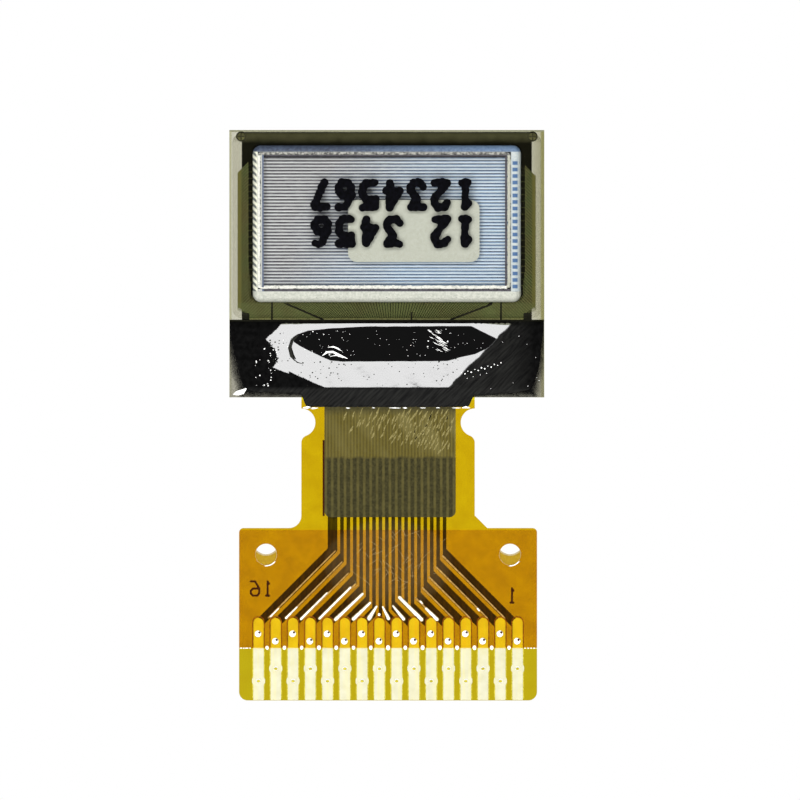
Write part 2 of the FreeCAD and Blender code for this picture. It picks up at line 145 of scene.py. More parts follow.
class Number:
    """A number that a material works out at each place. It stands in formulas like any other."""

    def __init__(self, graph, socket):
        self.graph = graph
        self.socket = socket

    def __add__(self, other):
        return self.graph.maths("ADD", self, other)

    def __sub__(self, other):
        return self.graph.maths("SUBTRACT", self, other)

    def __rsub__(self, other):
        return self.graph.maths("SUBTRACT", other, self)

    def __mul__(self, other):
        return self.graph.maths("MULTIPLY", self, other)

    def __abs__(self):
        return self.graph.maths("ABSOLUTE", self)


class Graph:
    """The nodes of one material, or of the world. Texture coordinates are object coordinates in mm."""

    def __init__(self, name, owner=None):
        self.owner = owner or bpy.data.materials.new(name)
        self.owner.use_nodes = True
        self.nodes = self.owner.node_tree.nodes
        self.links = self.owner.node_tree.links
        self.nodes.clear()

    def put(self, socket, value):
        if isinstance(value, Number):
            value = value.socket
        if isinstance(value, bpy.types.NodeSocket):
            self.links.new(value, socket)
        elif isinstance(value, tuple) and len(value) == 3 and socket.type == "RGBA":
            socket.default_value = (*value, 1)
        else:
            socket.default_value = value

    def maths(self, operation, *values):
        node = self.nodes.new("ShaderNodeMath")
        node.operation = operation
        for socket, value in zip(node.inputs, values):
            self.put(socket, value)
        return Number(self, node.outputs[0])

    def most(self, a, b):
        return self.maths("MAXIMUM", a, b)

    def place(self):
        scale = self.nodes.new("ShaderNodeVectorMath")
        scale.operation = "SCALE"
        scale.inputs["Scale"].default_value = 1 / MM
        self.links.new(self.nodes.new("ShaderNodeTexCoord").outputs["Object"], scale.inputs[0])
        return scale.outputs[0]

    def axes(self, place=None):
        """x, y and z of a place."""
        node = self.nodes.new("ShaderNodeSeparateXYZ")
        self.links.new(place or self.place(), node.inputs[0])
        return [Number(self, socket) for socket in node.outputs]

    def noise(self, per_mm, detail=3.0, stretch=(1, 1, 1), turn=0.0):
        """Noise, stretched after the place is turned about z."""
        place = self.place()
        for name, value in (("Rotation", (0, 0, turn)), ("Scale", stretch)):
            mapping = self.nodes.new("ShaderNodeMapping")
            mapping.inputs[name].default_value = value
            self.links.new(place, mapping.inputs["Vector"])
            place = mapping.outputs[0]
        node = self.nodes.new("ShaderNodeTexNoise")
        self.links.new(place, node.inputs["Vector"])
        node.inputs["Scale"].default_value = per_mm
        node.inputs["Detail"].default_value = detail
        return Number(self, node.outputs["Fac"])

    def ramp(self, value, low, high, start=0.0, end=1.0):
        """start to end, as value goes from low to high."""
        node = self.nodes.new("ShaderNodeMapRange")
        self.put(node.inputs["Value"], value)
        for name, number in (("From Min", low), ("From Max", high), ("To Min", start), ("To Max", end)):
            node.inputs[name].default_value = number
        return Number(self, node.outputs[0])

    def mix(self, share, a, b):
        node = self.nodes.new("ShaderNodeMix")
        node.data_type = "RGBA"
        for index, value in ((0, share), (6, a), (7, b)):
            self.put(node.inputs[index], value)
        return node.outputs[2]

    def layers(self, colour, *tones):
        """colour, with each tone laid over it by its share."""
        for share, tone in tones:
            colour = self.mix(share, colour, tone)
        return colour

    def bump(self, height, depth):
        node = self.nodes.new("ShaderNodeBump")
        node.inputs["Distance"].default_value = depth * MM
        node.inputs["Strength"].default_value = 1.0
        self.put(node.inputs["Height"], height)
        return node.outputs[0]

    def surface(self, colour, roughness, normal=None, **sockets):
        node = self.nodes.new("ShaderNodeBsdfPrincipled")
        self.put(node.inputs["Base Color"], colour)
        self.put(node.inputs["Roughness"], roughness)
        if normal is not None:
            self.put(node.inputs["Normal"], normal)
        for name, value in sockets.items():
            self.put(node.inputs[name.replace("_", " ")], value)
        return node.outputs[0]

    def blend(self, share, first, second):
        """The first shader, with a share of the second over it."""
        node = self.nodes.new("ShaderNodeMixShader")
        for socket, value in zip(node.inputs, (share, first, second)):
            self.put(socket, value)
        return node.outputs[0]

    def clear(self, tint, share, shader):
        """A face that lets tint through, with a share of its own shader over it."""
        through = self.nodes.new("ShaderNodeBsdfTransparent")
        self.put(through.inputs["Color"], tint)
        return self.blend(share, through.outputs[0], shader)

    def fresnel(self, least):
        """How much a clear face shows its own gloss: little head on, all of it at a glance."""
        node = self.nodes.new("ShaderNodeFresnel")
        node.inputs["IOR"].default_value = 1.45
        return self.most(node.outputs[0], least)

    def seen_by(self, first, *others):
        """1 for the kinds of ray that are named, and 0 for all others."""
        rays = self.nodes.new("ShaderNodeLightPath").outputs
        seen = rays[first]
        for ray in others:
            seen = self.most(seen, rays[ray])
        return seen

    def done(self, shader, output="ShaderNodeOutputMaterial"):
        out = self.nodes.new(output)
        self.links.new(shader, out.inputs["Surface"])
        return self.owner


def grained(
    name, grain, dark, light, rough, spread=(0, 1), even=0.2, depth=None, tint=None, share=1.0, **sockets
):
    """A material whose colour and gloss drift with a noise.

    With a tint, it is see-through apart from its share. even is how much of the noise's range keeps one gloss
    at each end."""
    g = Graph(name)
    noise = g.noise(*grain)
    colour = g.mix(g.ramp(noise, *spread), dark, light)
    roughness = g.ramp(noise, even, 1 - even, *rough) if isinstance(rough, tuple) else rough
    shader = g.surface(colour, roughness, g.bump(noise, depth) if depth else None, **sockets)
    return g.done(g.clear(tint, share, shader) if tint else shader)


def clear_glass(name):
    """Clear faces, a little olive towards the sawn sides."""
    g = Graph(name)
    x, y, _ = g.axes()
    grain = g.noise(1.5, 4)
    colour = g.mix(grain, (0.01, 0.01, 0.008), (0.03, 0.03, 0.025))
    tint = g.layers(
        (0.9, 0.896, 0.85),
        (g.ramp(x, 5.75, 6.2), (0.83, 0.825, 0.745)),
        (g.ramp(x, -6.18, -6.24), (0.85, 0.847, 0.76)),
        (g.ramp(x, 6.14, 6.2), (0.75, 0.742, 0.59)),
        (g.ramp(y, 3.75, 3.79), (0.76, 0.76, 0.67)),
    )
    shader = g.surface(colour, g.ramp(grain, 0.3, 0.7, 0.03, 0.08), IOR=1.52)
    return g.done(g.clear(tint, g.fresnel(0.03), shader))


def frosted_pocket(name):
    """The etched pocket, clear inside the ridge and frosted outside it. The row tabs pattern its sides.

    Its rims are painted light and shade: the upper rim dark blue, the right rim pale blue, and the lower and
    left ones white."""
    g = Graph(name)
    x, y, _ = g.axes()
    grain = g.noise(12, 4)
    fleck = g.ramp(grain, 0.3, 0.7)
    turn = math.pi / ROW_PITCH
    teeth = g.maths("SINE", (x * 0.9 + y) * turn)
    tooth = g.ramp(teeth, 0.2, -0.4) * g.ramp(x, -5.16, -5.24)
    # Painted light and shade on the rims: white at the left and below, pale blue at the right, dark blue at
    # the top
    left = g.mix(tooth, linear(242, 242, 232), linear(104, 110, 116))
    wave = g.maths("COSINE", (y - 2.52) * turn)
    dot = g.ramp(wave, -0.6, 0.1) * g.ramp(abs(x - 5.13), 0.13, 0.08) * g.ramp(y, 2.62, 2.58)
    right = g.mix(dot, g.mix(fleck, linear(184, 198, 212), linear(214, 220, 226)), linear(70, 108, 162))
    shaded_top = g.mix(fleck, linear(44, 52, 78), linear(82, 96, 126))
    top = g.mix(g.ramp(x, -2, 4), shaded_top, g.mix(fleck, linear(84, 110, 152), linear(122, 148, 188)))
    low = g.mix(fleck, linear(186, 190, 186), linear(220, 222, 220))
    outside = (
        (g.ramp(x, RIDGE_LEFT - 0.02, RIDGE_LEFT - 0.06), left),
        (g.ramp(x, RIDGE_RIGHT + 0.06, RIDGE_RIGHT + 0.1), right),
        (g.ramp(y, RIDGE_HIGH + 0.04, RIDGE_HIGH + 0.08), top),
        (g.ramp(y, RIDGE_LOW - 0.15, RIDGE_LOW - 0.18), low),
    )
    colour = g.layers((0.7, 0.75, 0.85), *outside)
    cover = 0.03
    for mask, _ in outside:
        cover = g.most(mask * 0.92, cover)
    return g.done(g.clear((0.93, 0.93, 0.94), cover, g.surface(colour, 0.6, g.bump(grain, 0.004))))


def ridge_glass(name):
    """The rope-like ridge that etching leaves round the pocket's floor, in painted light and shade, whitest
    at the left and below.
    """
    g = Graph(name)
    x, y, _ = g.axes()
    grain = g.noise(11, 3)
    # The ridge's tones are painted light and shade: mottled at the top, white at the left and below
    rope = g.mix(g.ramp(grain, 0.38, 0.62), (0.07, 0.07, 0.07), (0.52, 0.52, 0.5))
    white = g.mix(g.ramp(grain, 0.3, 0.5), (0.62, 0.62, 0.6), (0.95, 0.95, 0.93))
    smooth = g.mix(g.ramp(grain, 0.3, 0.6), (0.5, 0.51, 0.44), (0.62, 0.62, 0.55))
    right = g.ramp(x, 4.78, 4.8) * g.ramp(y, 2.84, 2.8)
    colour = g.layers(white, (g.ramp(y, 2.8, 2.84), rope), (right, smooth))
    return g.done(g.surface(colour, 0.4, g.bump(grain, 0.02)))


def shade_line(name):
    """Painted shade beside the ridge, bluish at its left end, which ends in white, a painted highlight."""
    g = Graph(name)
    x = g.axes()[0]
    grain = g.noise(6, 3)
    shade = g.mix(g.ramp(grain, 0.3, 0.7), (0.02, 0.016, 0.028), (0.08, 0.07, 0.1))
    blue = g.mix(grain, linear(70, 82, 112), linear(112, 128, 164))
    # The white strip at the very left is a painted highlight
    blue = g.mix(g.ramp(x, -4.98, -5.0), blue, linear(206, 208, 208))
    colour = g.mix(g.ramp(x, -4.9, -4.92), shade, blue)
    return g.done(g.clear((0.6, 0.62, 0.68), 0.93, g.surface(colour, 0.6)))


def seal_resin(name):
    """Clear resin, with an olive cast along the top."""
    g = Graph(name)
    y = g.axes()[1]
    grain = g.noise(2.5, 4)
    colour = g.mix(grain, linear(84, 84, 50), linear(120, 118, 82))
    cast = g.ramp(y + grain * 0.1, 3.36, 3.68, 0.02, 0.3)
    return g.done(g.clear((0.917, 0.913, 0.89), cast, g.surface(colour, g.ramp(grain, 0.2, 0.8, 0.3, 0.6))))


def cathode_metal(name):
    """Evaporated aluminium strips with dark borders, greyish at the left and bluish at the right, with pale
    streaks of painted sheen.
    """
    g = Graph(name)
    x, y, _ = g.axes()
    grain = g.noise(3, 4, (1, 6, 1))
    drift = g.noise(0.35, 2)
    strip = g.ramp(g.maths("COSINE", y * (2 * math.pi / ROW_PITCH)), 0.45, -0.55)
    blue = g.ramp(x - y * 0.8 + g.ramp(drift, 0.3, 0.7, -1.2, 1.2), -4, 3)
    light = g.mix(blue, (0.5, 0.513, 0.545), (0.535, 0.635, 0.76))
    dark = g.mix(blue, (0.12, 0.115, 0.14), (0.2, 0.3, 0.48))
    # The pale streaks laid over the strips are painted sheen
    colour = g.layers(dark, (strip, light), (g.ramp(grain, 0.5, 0.85, 0, 0.35), (0.74, 0.76, 0.8)))
    return g.done(g.surface(colour, g.ramp(grain, 0.2, 0.8, 0.38, 0.46), Metallic=1.0))


def track_metal(name):
    """Olive thin-film tracks, mottled green and brown, with the slanted weave of the lanes."""
    g = Graph(name)
    x, y, _ = g.axes()
    mottle = g.noise(1.1, 5)
    grain = g.noise(12, 2)
    weave = g.maths("SINE", (abs(x) + y) * (2 * math.pi / ROW_PITCH))
    low_part = g.ramp(y, -3.02, -3.12) * g.ramp(mottle, 0.3, 0.7, 0.3, 0.65)
    colour = g.layers(
        linear(94, 88, 48),
        (g.ramp(mottle, 0.35, 0.65), linear(84, 104, 58)),
        (g.ramp(grain, 0.3, 0.8), linear(116, 116, 76)),
        (g.ramp(weave, -0.9, 0.3, 0.8, 0), linear(30, 32, 16)),
        (g.ramp(abs(x), 5.78, 5.86), linear(118, 116, 62)),
        (low_part, linear(112, 124, 80)),
    )
    return g.done(g.surface(colour, g.ramp(grain, 0.2, 0.8, 0.35, 0.55), Specular_IOR_Level=0.25))


def brush_lines(g, dark, light):
    """Tones of the slanted lines that a brush left in the glue."""
    return g.mix(g.ramp(g.noise(14, 4, (0.09, 1, 1), math.radians(-45)), 0.35, 0.7), dark, light)


def black_glue(name):
    """Wet-looking glue. Its right end and its front are satin, with slanted brush lines."""
    g = Graph(name)
    x, y, _ = g.axes()
    waver = g.ramp(g.noise(2.2, 4), 0.3, 0.7, -0.05, 0.05)
    right = g.ramp(x - y + waver, SATIN_LINE - 0.04, SATIN_LINE + 0.04)
    front = g.ramp(y + waver * 0.3, SATIN_FRONT + 0.03, SATIN_FRONT - 0.03)
    satin = g.most(right, front)
    lines = brush_lines(g, (0.003, 0.003, 0.003), (0.013, 0.013, 0.012))
    colour = g.mix(satin, (0.002, 0.002, 0.002), lines)
    swell = g.bump(g.noise(1.3, 3), 0.01)
    rough = g.ramp(satin, 0, 1, 0.09, 0.5)
    gloss = g.ramp(satin, 0, 1, 0.95, 0.02)
    return g.done(g.surface(colour, rough, swell, IOR=1.58, Specular_IOR_Level=gloss))


def dull_glue(name):
    """The low skirt of the glue, with less gloss. The brush lines run over its front and right parts."""
    g = Graph(name)
    x, y, _ = g.axes()
    grain = g.noise(5, 5)
    front = g.ramp(y, -6.42, -6.56)
    right = g.ramp(x - y, 8.6, 9.2) * g.ramp(x, 5.9, 5.0)
    plain = g.mix(g.ramp(grain, 0.4, 0.75), (0.0012, 0.0012, 0.0012), (0.004, 0.004, 0.004))
    lines = brush_lines(g, (0.004, 0.004, 0.004), (0.015, 0.015, 0.014))
    colour = g.mix(g.most(front, right), plain, lines)
    gloss = g.ramp(front, 0, 1, 0.012, 0.03)
    rough = g.ramp(grain, 0.3, 0.7, 0.4, 0.55)
    return g.done(g.surface(colour, rough, g.bump(grain, 0.008), Specular_IOR_Level=gloss))


def thin_glue(name):
    """Glue smeared thin over the ledge, which fades towards the edges of the glass."""
    g = Graph(name)
    x, y, _ = g.axes()
    cloud = g.ramp(g.noise(4, 4), 0.3, 0.7, -0.05, 0.05)
    left = y * -0.27 - 7.44 - x
    right = x - (y * 0.18 + 6.96)
    away = g.most(g.most(left, right), -6.62 - y) + cloud
    tint = g.mix(g.ramp(away, -0.02, 0.42), (0.005, 0.005, 0.004), (0.72, 0.71, 0.67))
    return g.done(g.clear(tint, 0.08, g.surface((0.01, 0.01, 0.009), 0.5)))


def film(name, tint, other_tint, middle, light, dark, haze=0.0):
    """Polyimide film: what lies under it shows through in amber. The tint changes where y passes middle.

    haze is how much the film is scuffed over the middle of the strands."""
    g = Graph(name)
    x, y, _ = g.axes()
    mottle = g.noise(1.4, 5)
    grain = g.noise(22, 2)
    through = g.layers(
        other_tint,
        (g.ramp(y, middle - 0.06, middle + 0.06), tint),
        (g.ramp(mottle, 0.35, 0.7, 0, 0.07), (0.5, 0.3, 0.02)),
    )
    aside = (x - SCUFF_CENTRE[0]) * (1 / SCUFF_REACH[0])
    above = (y - SCUFF_CENTRE[1]) * (1 / SCUFF_REACH[1])
    away = aside * aside + above * above
    scuff = g.ramp(away, 1.3, 0.4) * g.ramp(g.noise(7, 4, (1, 0.3, 1), 0.5), 0.3, 0.8, 0.25, 1)
    colour = g.layers(
        dark, (g.ramp(mottle, 0.3, 0.7), light), (g.ramp(scuff, 0, 0.1), linear(150, 136, 112))
    )
    rough = g.ramp(grain, 0.3, 0.8, 0.16, 0.3)
    shader = g.surface(colour, rough, g.bump(mottle, 0.01), IOR=1.6)
    return g.done(g.clear(through, g.ramp(scuff, 0, 1, 0.025, 0.025 + haze), shader))


def dark_cover(name):
    """The cover in the neck: olive, with the strands showing as stripes, paler in its upper part."""
    g = Graph(name)
    x, y, _ = g.axes()
    mottle = g.noise(3, 5)
    grain = g.noise(11, 3)
    phase = (x - FIRST_GAP) * (2 * math.pi / STRAND_PITCH)
    stripe = g.ramp(g.maths("COSINE", phase), -0.2, 0.9) * g.ramp(mottle, 0.3, 0.6, 0.4, 1)
    fine = g.ramp(g.maths("SINE", phase * 2.0), -0.4, 0.8)
    patch = g.ramp(g.noise(1.6, 5, (1, 0.35, 1), math.radians(-28)), 0.45, 0.75)
    lower = g.mix(stripe, linear(44, 41, 20), linear(80, 74, 38))
    upper = g.layers(
        linear(76, 68, 26),
        (fine, linear(96, 86, 36)),
        (patch * g.ramp(x, -2.2, 0.8, 0.15, 0.6), linear(128, 120, 74)),
        (g.ramp(y, -7.6, -7.3), linear(56, 52, 28)),
    )
    colour = g.layers(
        lower,
        (g.ramp(y + mottle * 0.2, -9.22, -9.1), upper),
        (g.ramp(grain, 0.35, 0.8, 0, 0.35), linear(96, 90, 52)),
    )
    shader = g.surface(colour, 0.45, g.bump(grain, 0.01), Specular_IOR_Level=0.06)
    return g.done(g.clear((0.3, 0.26, 0.14), 0.8, shader))


def plated_gold(name):
    """Bright plating of the solder fingers, with fine lengthwise lines."""
    g = Graph(name)
    y = g.axes()[1]
    lines = g.noise(9, 3, (1, 0.05, 1))
    blotch = g.ramp(g.noise(2.5, 3), 0.3, 0.7)
    bare = g.ramp(y, COVER_END + 0.02, COVER_END - 0.02)
    pale = g.mix(blotch, (0.455, 0.437, 0.29), (0.51, 0.497, 0.365))
    bright = g.mix(blotch, (0.62, 0.73, 0.26), (0.67, 0.78, 0.33))
    line = g.mix(bare, (0.68, 0.55, 0.22), (0.55, 0.5, 0.2))
    colour = g.layers(bright, (bare, pale), (g.ramp(lines, 0.45, 0.85, 0, 0.6), line))
    rough = g.ramp(lines, 0.3, 0.7, 0.4, 0.5)
    return g.done(g.surface(colour, rough, Metallic=0.35, Specular_IOR_Level=0.2))


def white_floor(name):
    """Shows as plain white itself, and still takes light and shade."""
    g = Graph(name)
    seen = g.seen_by("Is Camera Ray", "Is Glossy Ray", "Is Transmission Ray")
    glow = g.nodes.new("ShaderNodeEmission")
    return g.done(g.blend(seen, g.surface((0.9, 0.9, 0.9), 0.9), glow.outputs[0]))


for make in (
    clear_glass, frosted_pocket, ridge_glass, shade_line, seal_resin, cathode_metal, track_metal,
    black_glue, dull_glue, thin_glue, dark_cover, plated_gold, white_floor,
):
    MATERIALS[make.__name__] = make(make.__name__)

# Films of the tail: tint above and below a level, the level, gloss colours, and haze
FILMS = {
    "base_film": (
        (0.885, 0.825, 0.12), (0.74, 0.66, 0.09), COVER_END, (0.3, 0.21, 0.02), (0.22, 0.15, 0.015), 0.08,
    ),
    "front_cover": ((0.93, 0.82, 0.46), (0.94, 0.8, 0.4), -12.1, (0.2, 0.13, 0.06), (0.13, 0.085, 0.04)),
    "back_cover": (
        (0.94, 0.815, 0.36), (0.94, 0.815, 0.36), -14.0, (0.2, 0.13, 0.06), (0.13, 0.085, 0.04), 0.07,
    ),
}
for name, values in FILMS.items():
    MATERIALS[name] = film(name, *values)

# Plainer materials: grain, dark and light colour, roughness, and what else differs
GRAINED = {
    "glass_edge": (
        (9, 5, (1, 1, 4)), linear(74, 82, 56), linear(150, 158, 128), (0.25, 0.5),
        {"depth": 0.01, "tint": (0.6, 0.62, 0.45), "share": 0.6, "IOR": 1.52},
    ),
    "polarizer_film": ((1.2, 4), (0.004, 0.004, 0.004), (0.012, 0.012, 0.011), (0.12, 0.22), {"IOR": 1.49}),
    "clear_conductor": (
        (4, 2), (0.02, 0.02, 0.018), (0.06, 0.06, 0.05), (0.1, 0.3),
        {"tint": (0.95, 0.95, 0.91), "share": 0.05},
    ),
    "organic_film": (
        (2, 3), (0.02, 0.02, 0.025), (0.04, 0.035, 0.03), (0.2, 0.4),
        {"tint": (0.6, 0.56, 0.5), "share": 0.5},
    ),
    "mark_metal": ((8, 3), linear(30, 30, 12), linear(74, 72, 34), 0.5, {"Specular_IOR_Level": 0.25}),
    "desiccant_paste": (
        (9, 5), linear(188, 191, 181), linear(199, 202, 194), 0.85, {"spread": (0.3, 0.75), "depth": 0.008},
    ),
    "silicon": ((5, 3), (0.12, 0.12, 0.15), (0.25, 0.25, 0.28), (0.08, 0.2), {"Metallic": 0.8}),
    "bond_film": ((8, 3), (0.25, 0.2, 0.12), (0.4, 0.34, 0.22), (0.4, 0.6), {}),
    "treated_foil": (
        (10, 4, (1, 0.2, 1)), (0.006, 0.005, 0.004), (0.045, 0.035, 0.022), (0.3, 0.5),
        {"spread": (0.35, 0.75), "even": 0.3, "Specular_IOR_Level": 0.2},
    ),
    "black_ink": (
        (8, 4), (0.0008, 0.0008, 0.001), (0.003, 0.003, 0.005), (0.4, 0.6),
        {"spread": (0.35, 0.75), "depth": 0.01, "even": 0.3, "Specular_IOR_Level": 0.012},
    ),
    "gap_line": ((8, 3), (0.003, 0.003, 0.002), (0.012, 0.012, 0.008), 0.5, {"Specular_IOR_Level": 0.1}),
}
for name, (grain, dark, light, rough, others) in GRAINED.items():
    MATERIALS[name] = grained(name, grain, dark, light, rough, **others)

# Small marks, painted glints and painted shades, small print, and thin lines: dark and light screen colour,
# and gloss
FLECKS = {
    "brown_ink_and_shade": ((38, 10, 1), (56, 22, 2), 0.03),
    "white_glint": ((214, 214, 208), (252, 252, 250), 0.5),
    "grey_glint": ((118, 96, 58), (162, 142, 104), 0.1),
    "amber_glint": ((124, 90, 36), (166, 130, 70), 0.1),
    "relief_halo": ((116, 98, 54), (164, 146, 100), 0.1),
    "olive_line": ((112, 114, 78), (150, 150, 104), 0.1),
    "finger_shade": ((84, 38, 2), (128, 70, 6), 0.03),
    "pad_shade": ((150, 138, 22), (182, 170, 62), 0.05),
    "via_shade": ((150, 138, 20), (186, 172, 60), 0.1),
    "olive_glint": ((92, 84, 42), (128, 119, 76), 0.05),
    # The next two colours are painted shadow seen through the locating holes
    "hole_shadow_amber": ((138, 108, 8), (152, 122, 18), 0.1),
    "hole_shadow_pale": ((148, 132, 92), (162, 148, 112), 0.1),
}
for name, (dark, light, gloss) in FLECKS.items():
    MATERIALS[name] = grained(
        name, (14, 3), linear(*dark), linear(*light), 0.4, (0.35, 0.6), depth=0.01, Specular_IOR_Level=gloss
    )


def box(node):
    """The node's low and high corner in mm."""
    return [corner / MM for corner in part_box(node)]


def dress(obj, *names):
    obj.data.materials.clear()
    for name in names:
        obj.data.materials.append(MATERIALS[name])


def stand(name, data, place=(0, 0, 0)):
    """A new object in the scene, at a place in mm."""
    made = bpy.data.objects.new(name, data)
    made.location = [c * MM for c in place]
    bpy.context.scene.collection.objects.link(made)
    return made


def new_piece(name, mesh, slot, names):
    piece = stand(name, mesh)
    dress(piece, *names)
    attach(piece, "root")
    return piece


def new_mesh(name, vertices, faces):
    """A mesh from places in mm."""
    mesh = bpy.data.meshes.new(name)
    mesh.from_pydata([[c * MM for c in v] for v in vertices], [], faces)
    return mesh


def add_piece(name, vertices, faces, slot, *names, smooth=True):
    mesh = new_mesh(name, vertices, faces)
    for polygon in mesh.polygons:
        polygon.use_smooth = smooth
    return new_piece(name, mesh, slot, names)


def shrunk_copy(node, slot, *names, amount=SHRINK):
    """A see-through node's own shape, drawn a hair smaller, so that it touches no other face."""
    mesh = NODES[node].data.copy()
    work = bmesh.new()
    work.from_mesh(mesh)
    bmesh.ops.remove_doubles(work, verts=work.verts, dist=SHRINK * MM / 10)
    bmesh.ops.recalc_face_normals(work, faces=work.faces)
    work.normal_update()
    moves = [v.normal.copy() for v in work.verts]
    for vertex, normal in zip(work.verts, moves):
        vertex.co -= normal * amount * MM
    work.to_mesh(mesh)
    work.free()
    piece = new_piece(node + "_look", mesh, slot, names)
    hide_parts(node)
    return piece


def at_pixel(px, py):
    """A place in mm from a place in the picture."""
    return (px - ORIGIN_PIXEL[0]) / PIXELS_PER_MM, (ORIGIN_PIXEL[1] - py) / PIXELS_PER_MM


def at_pixels(pixels):
    return [at_pixel(*pixel) for pixel in pixels]


def arc(x, y, radius, first, last, steps, squash=1.0):
    """Places along an arc from one angle in degrees to another."""
    turns = [math.radians(first + (last - first) * k / steps) for k in range(steps + 1)]
    return [(x + radius * math.cos(t), y + radius * squash * math.sin(t)) for t in turns]


def round_outline(x, y, radius, sides=12, squash=1.0):
    return arc(x, y, radius, 0, 360, sides, squash)[:-1]


def ring_outline(x, y, inner, outer, first, last):
    """A short piece of a ring."""
    return arc(x, y, outer, first, last, 1) + arc(x, y, inner, last, first, 1)


def stroke_outline(points, width, end=0.25):
    """A stroke that follows the points. end is the share of the width that its ends keep."""
    left, right = [], []
    last = len(points) - 1
    for i, (x, y) in enumerate(points):
        ax, ay = points[max(i - 1, 0)]
        bx, by = points[min(i + 1, last)]
        length = math.hypot(bx - ax, by - ay)
        half = width / 2 * (end if i in (0, last) else 1)
        nx, ny = -(by - ay) / length * half, (bx - ax) / length * half
        left.append((x + nx, y + ny))
        right.append((x - nx, y - ny))
    return left + right[::-1]


def taper_outline(a, b, width_a, width_b):
    """A straight stroke from a to b, whose width changes and whose ends are round."""
    turn = math.degrees(math.atan2(b[1] - a[1], b[0] - a[0]))
    return arc(*b, width_b / 2, turn - 90, turn + 90, 4) + arc(*a, width_a / 2, turn + 90, turn + 270, 4)


def block_outline(x0, y0, x1, y1):
    return [(x0, y0), (x1, y0), (x1, y1), (x0, y1)]


def pixel_block(x0, y0, x1, y1):
    return block_outline(*at_pixel(x0, y0), *at_pixel(x1, y1))


def slabs(name, shapes, slot, material):
    """Flat closed pieces. Each shape is a list of places round its outline, and its lower and upper z."""
    vertices, faces = [], []
    for points, low, high in shapes:
        area = sum(ax * by - bx * ay for (ax, ay), (bx, by) in zip(points, points[1:] + points[:1]))
        points = points if area > 0 else points[::-1]
        base, count = len(vertices), len(points)
        vertices += [(px, py, z) for z in (low, high) for px, py in points]
        faces.append(tuple(base + i for i in reversed(range(count))))
        faces.append(tuple(base + count + i for i in range(count)))
        for i in range(count):
            j = (i + 1) % count
            faces.append((base + i, base + j, base + count + j, base + count + i))
    return add_piece(name, vertices, faces, slot, material, smooth=False)


def level_slabs(name, outlines, low, high, slot, material):
    """Flat closed pieces between two levels."""
    return slabs(name, [(points, low, high) for points in outlines], slot, material)


def glasses():
    """Clear faces, sawn edges, and an etched pocket in the cap."""
    low, high = box("cap_glass")
    cap = shrunk_copy("cap_glass", "cap_glass", "clear_glass", "glass_edge", "frosted_pocket")
    for polygon in cap.data.polygons:
        middle = polygon.center / MM
        inside = low.x + 0.1 < middle.x < high.x - 0.1 and low.y + 0.1 < middle.y < high.y - 0.1
        if abs(polygon.normal.z) < 0.2 and not inside:
            polygon.material_index = 1
        elif low.z + 0.01 < middle.z < high.z - 0.1:
            polygon.material_index = 2
        else:
            polygon.material_index = 0
    panel_glass = shrunk_copy("substrate_glass", "panel_glass", "clear_glass", "glass_edge")
    for polygon in panel_glass.data.polygons:
        polygon.material_index = 1 if abs(polygon.normal.z) < 0.5 else 0


def rows():
    """The cathode rows, whose short ends at the left reach the shade beside the ridge."""
    piece = shrunk_copy("cathode_rows", "cathode_metal", "cathode_metal", amount=0)
    for vertex in piece.data.vertices:
        if -4.9 < vertex.co.x / MM < -4.8:
            vertex.co.x = ROWS_START * MM


# The groups of row tracks, left and right, as outlines in pixels. The first two places are the slanting top.
LANES = (
    (
        (248.4, 162), (237.7, 172.5), (237.7, 307.5), (247.5, 313), (249.4, 313), (249.4, 319.4),
        (320.5, 319.4), (285.5, 304.2), (283, 302.2), (256, 302.2), (250.5, 298.5), (248.4, 293),
    ),
    (
        (525, 165.2), (535, 175.5), (535, 307), (525.5, 313), (523.4, 313), (523.4, 319.4),
        (453, 319.4), (492, 304.6), (493, 302.2), (517, 302.2), (522.5, 298.5), (525, 293),
    ),
)


def row_tracks():
    """The row tracks, with the uppermost ones cut slanting, as the photo shows them."""
    for node, lane in zip(("left_row_tracks", "right_row_tracks"), LANES):
        piece = shrunk_copy(node, "track_metal", "track_metal", amount=0)
        (ax, ay), (bx, by) = at_pixels(lane[:2])
        for vertex in piece.data.vertices:
            share = (vertex.co.x / MM - ax) / (bx - ax)
            if share > 0:
                vertex.co.y = min(vertex.co.y, (ay + (by - ay) * min(share, 1)) * MM)


def conductors():
    """The tail's copper, dark where the foil is bonded to the film and bright where it is plated.

    The slanted runs sit lower than in the plain part, more so at the right, as the photo shows them."""
    foil_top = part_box("tail_base_film")[0].z
    for name in [n for n in NODES if n.startswith("conductor_")]:
        piece = shrunk_copy(name, "gold_plated_copper", "plated_gold", "treated_foil", amount=0)
        for vertex in piece.data.vertices:
            x, y, z = (c / MM for c in vertex.co)
            if z < RUNS_TOP and FAN_LOW < y < FAN_HIGH:
                share = min(max((x + 0.2) / 0.5, 0), 1)
                vertex.co.y -= (FAN_DROP_LEFT + (FAN_DROP_RIGHT - FAN_DROP_LEFT) * share) * MM
        for polygon in piece.data.polygons:
            bonded = polygon.normal.z > 0.5 and polygon.center.z < foil_top + SHRINK * MM
            polygon.material_index = 1 if bonded else 0


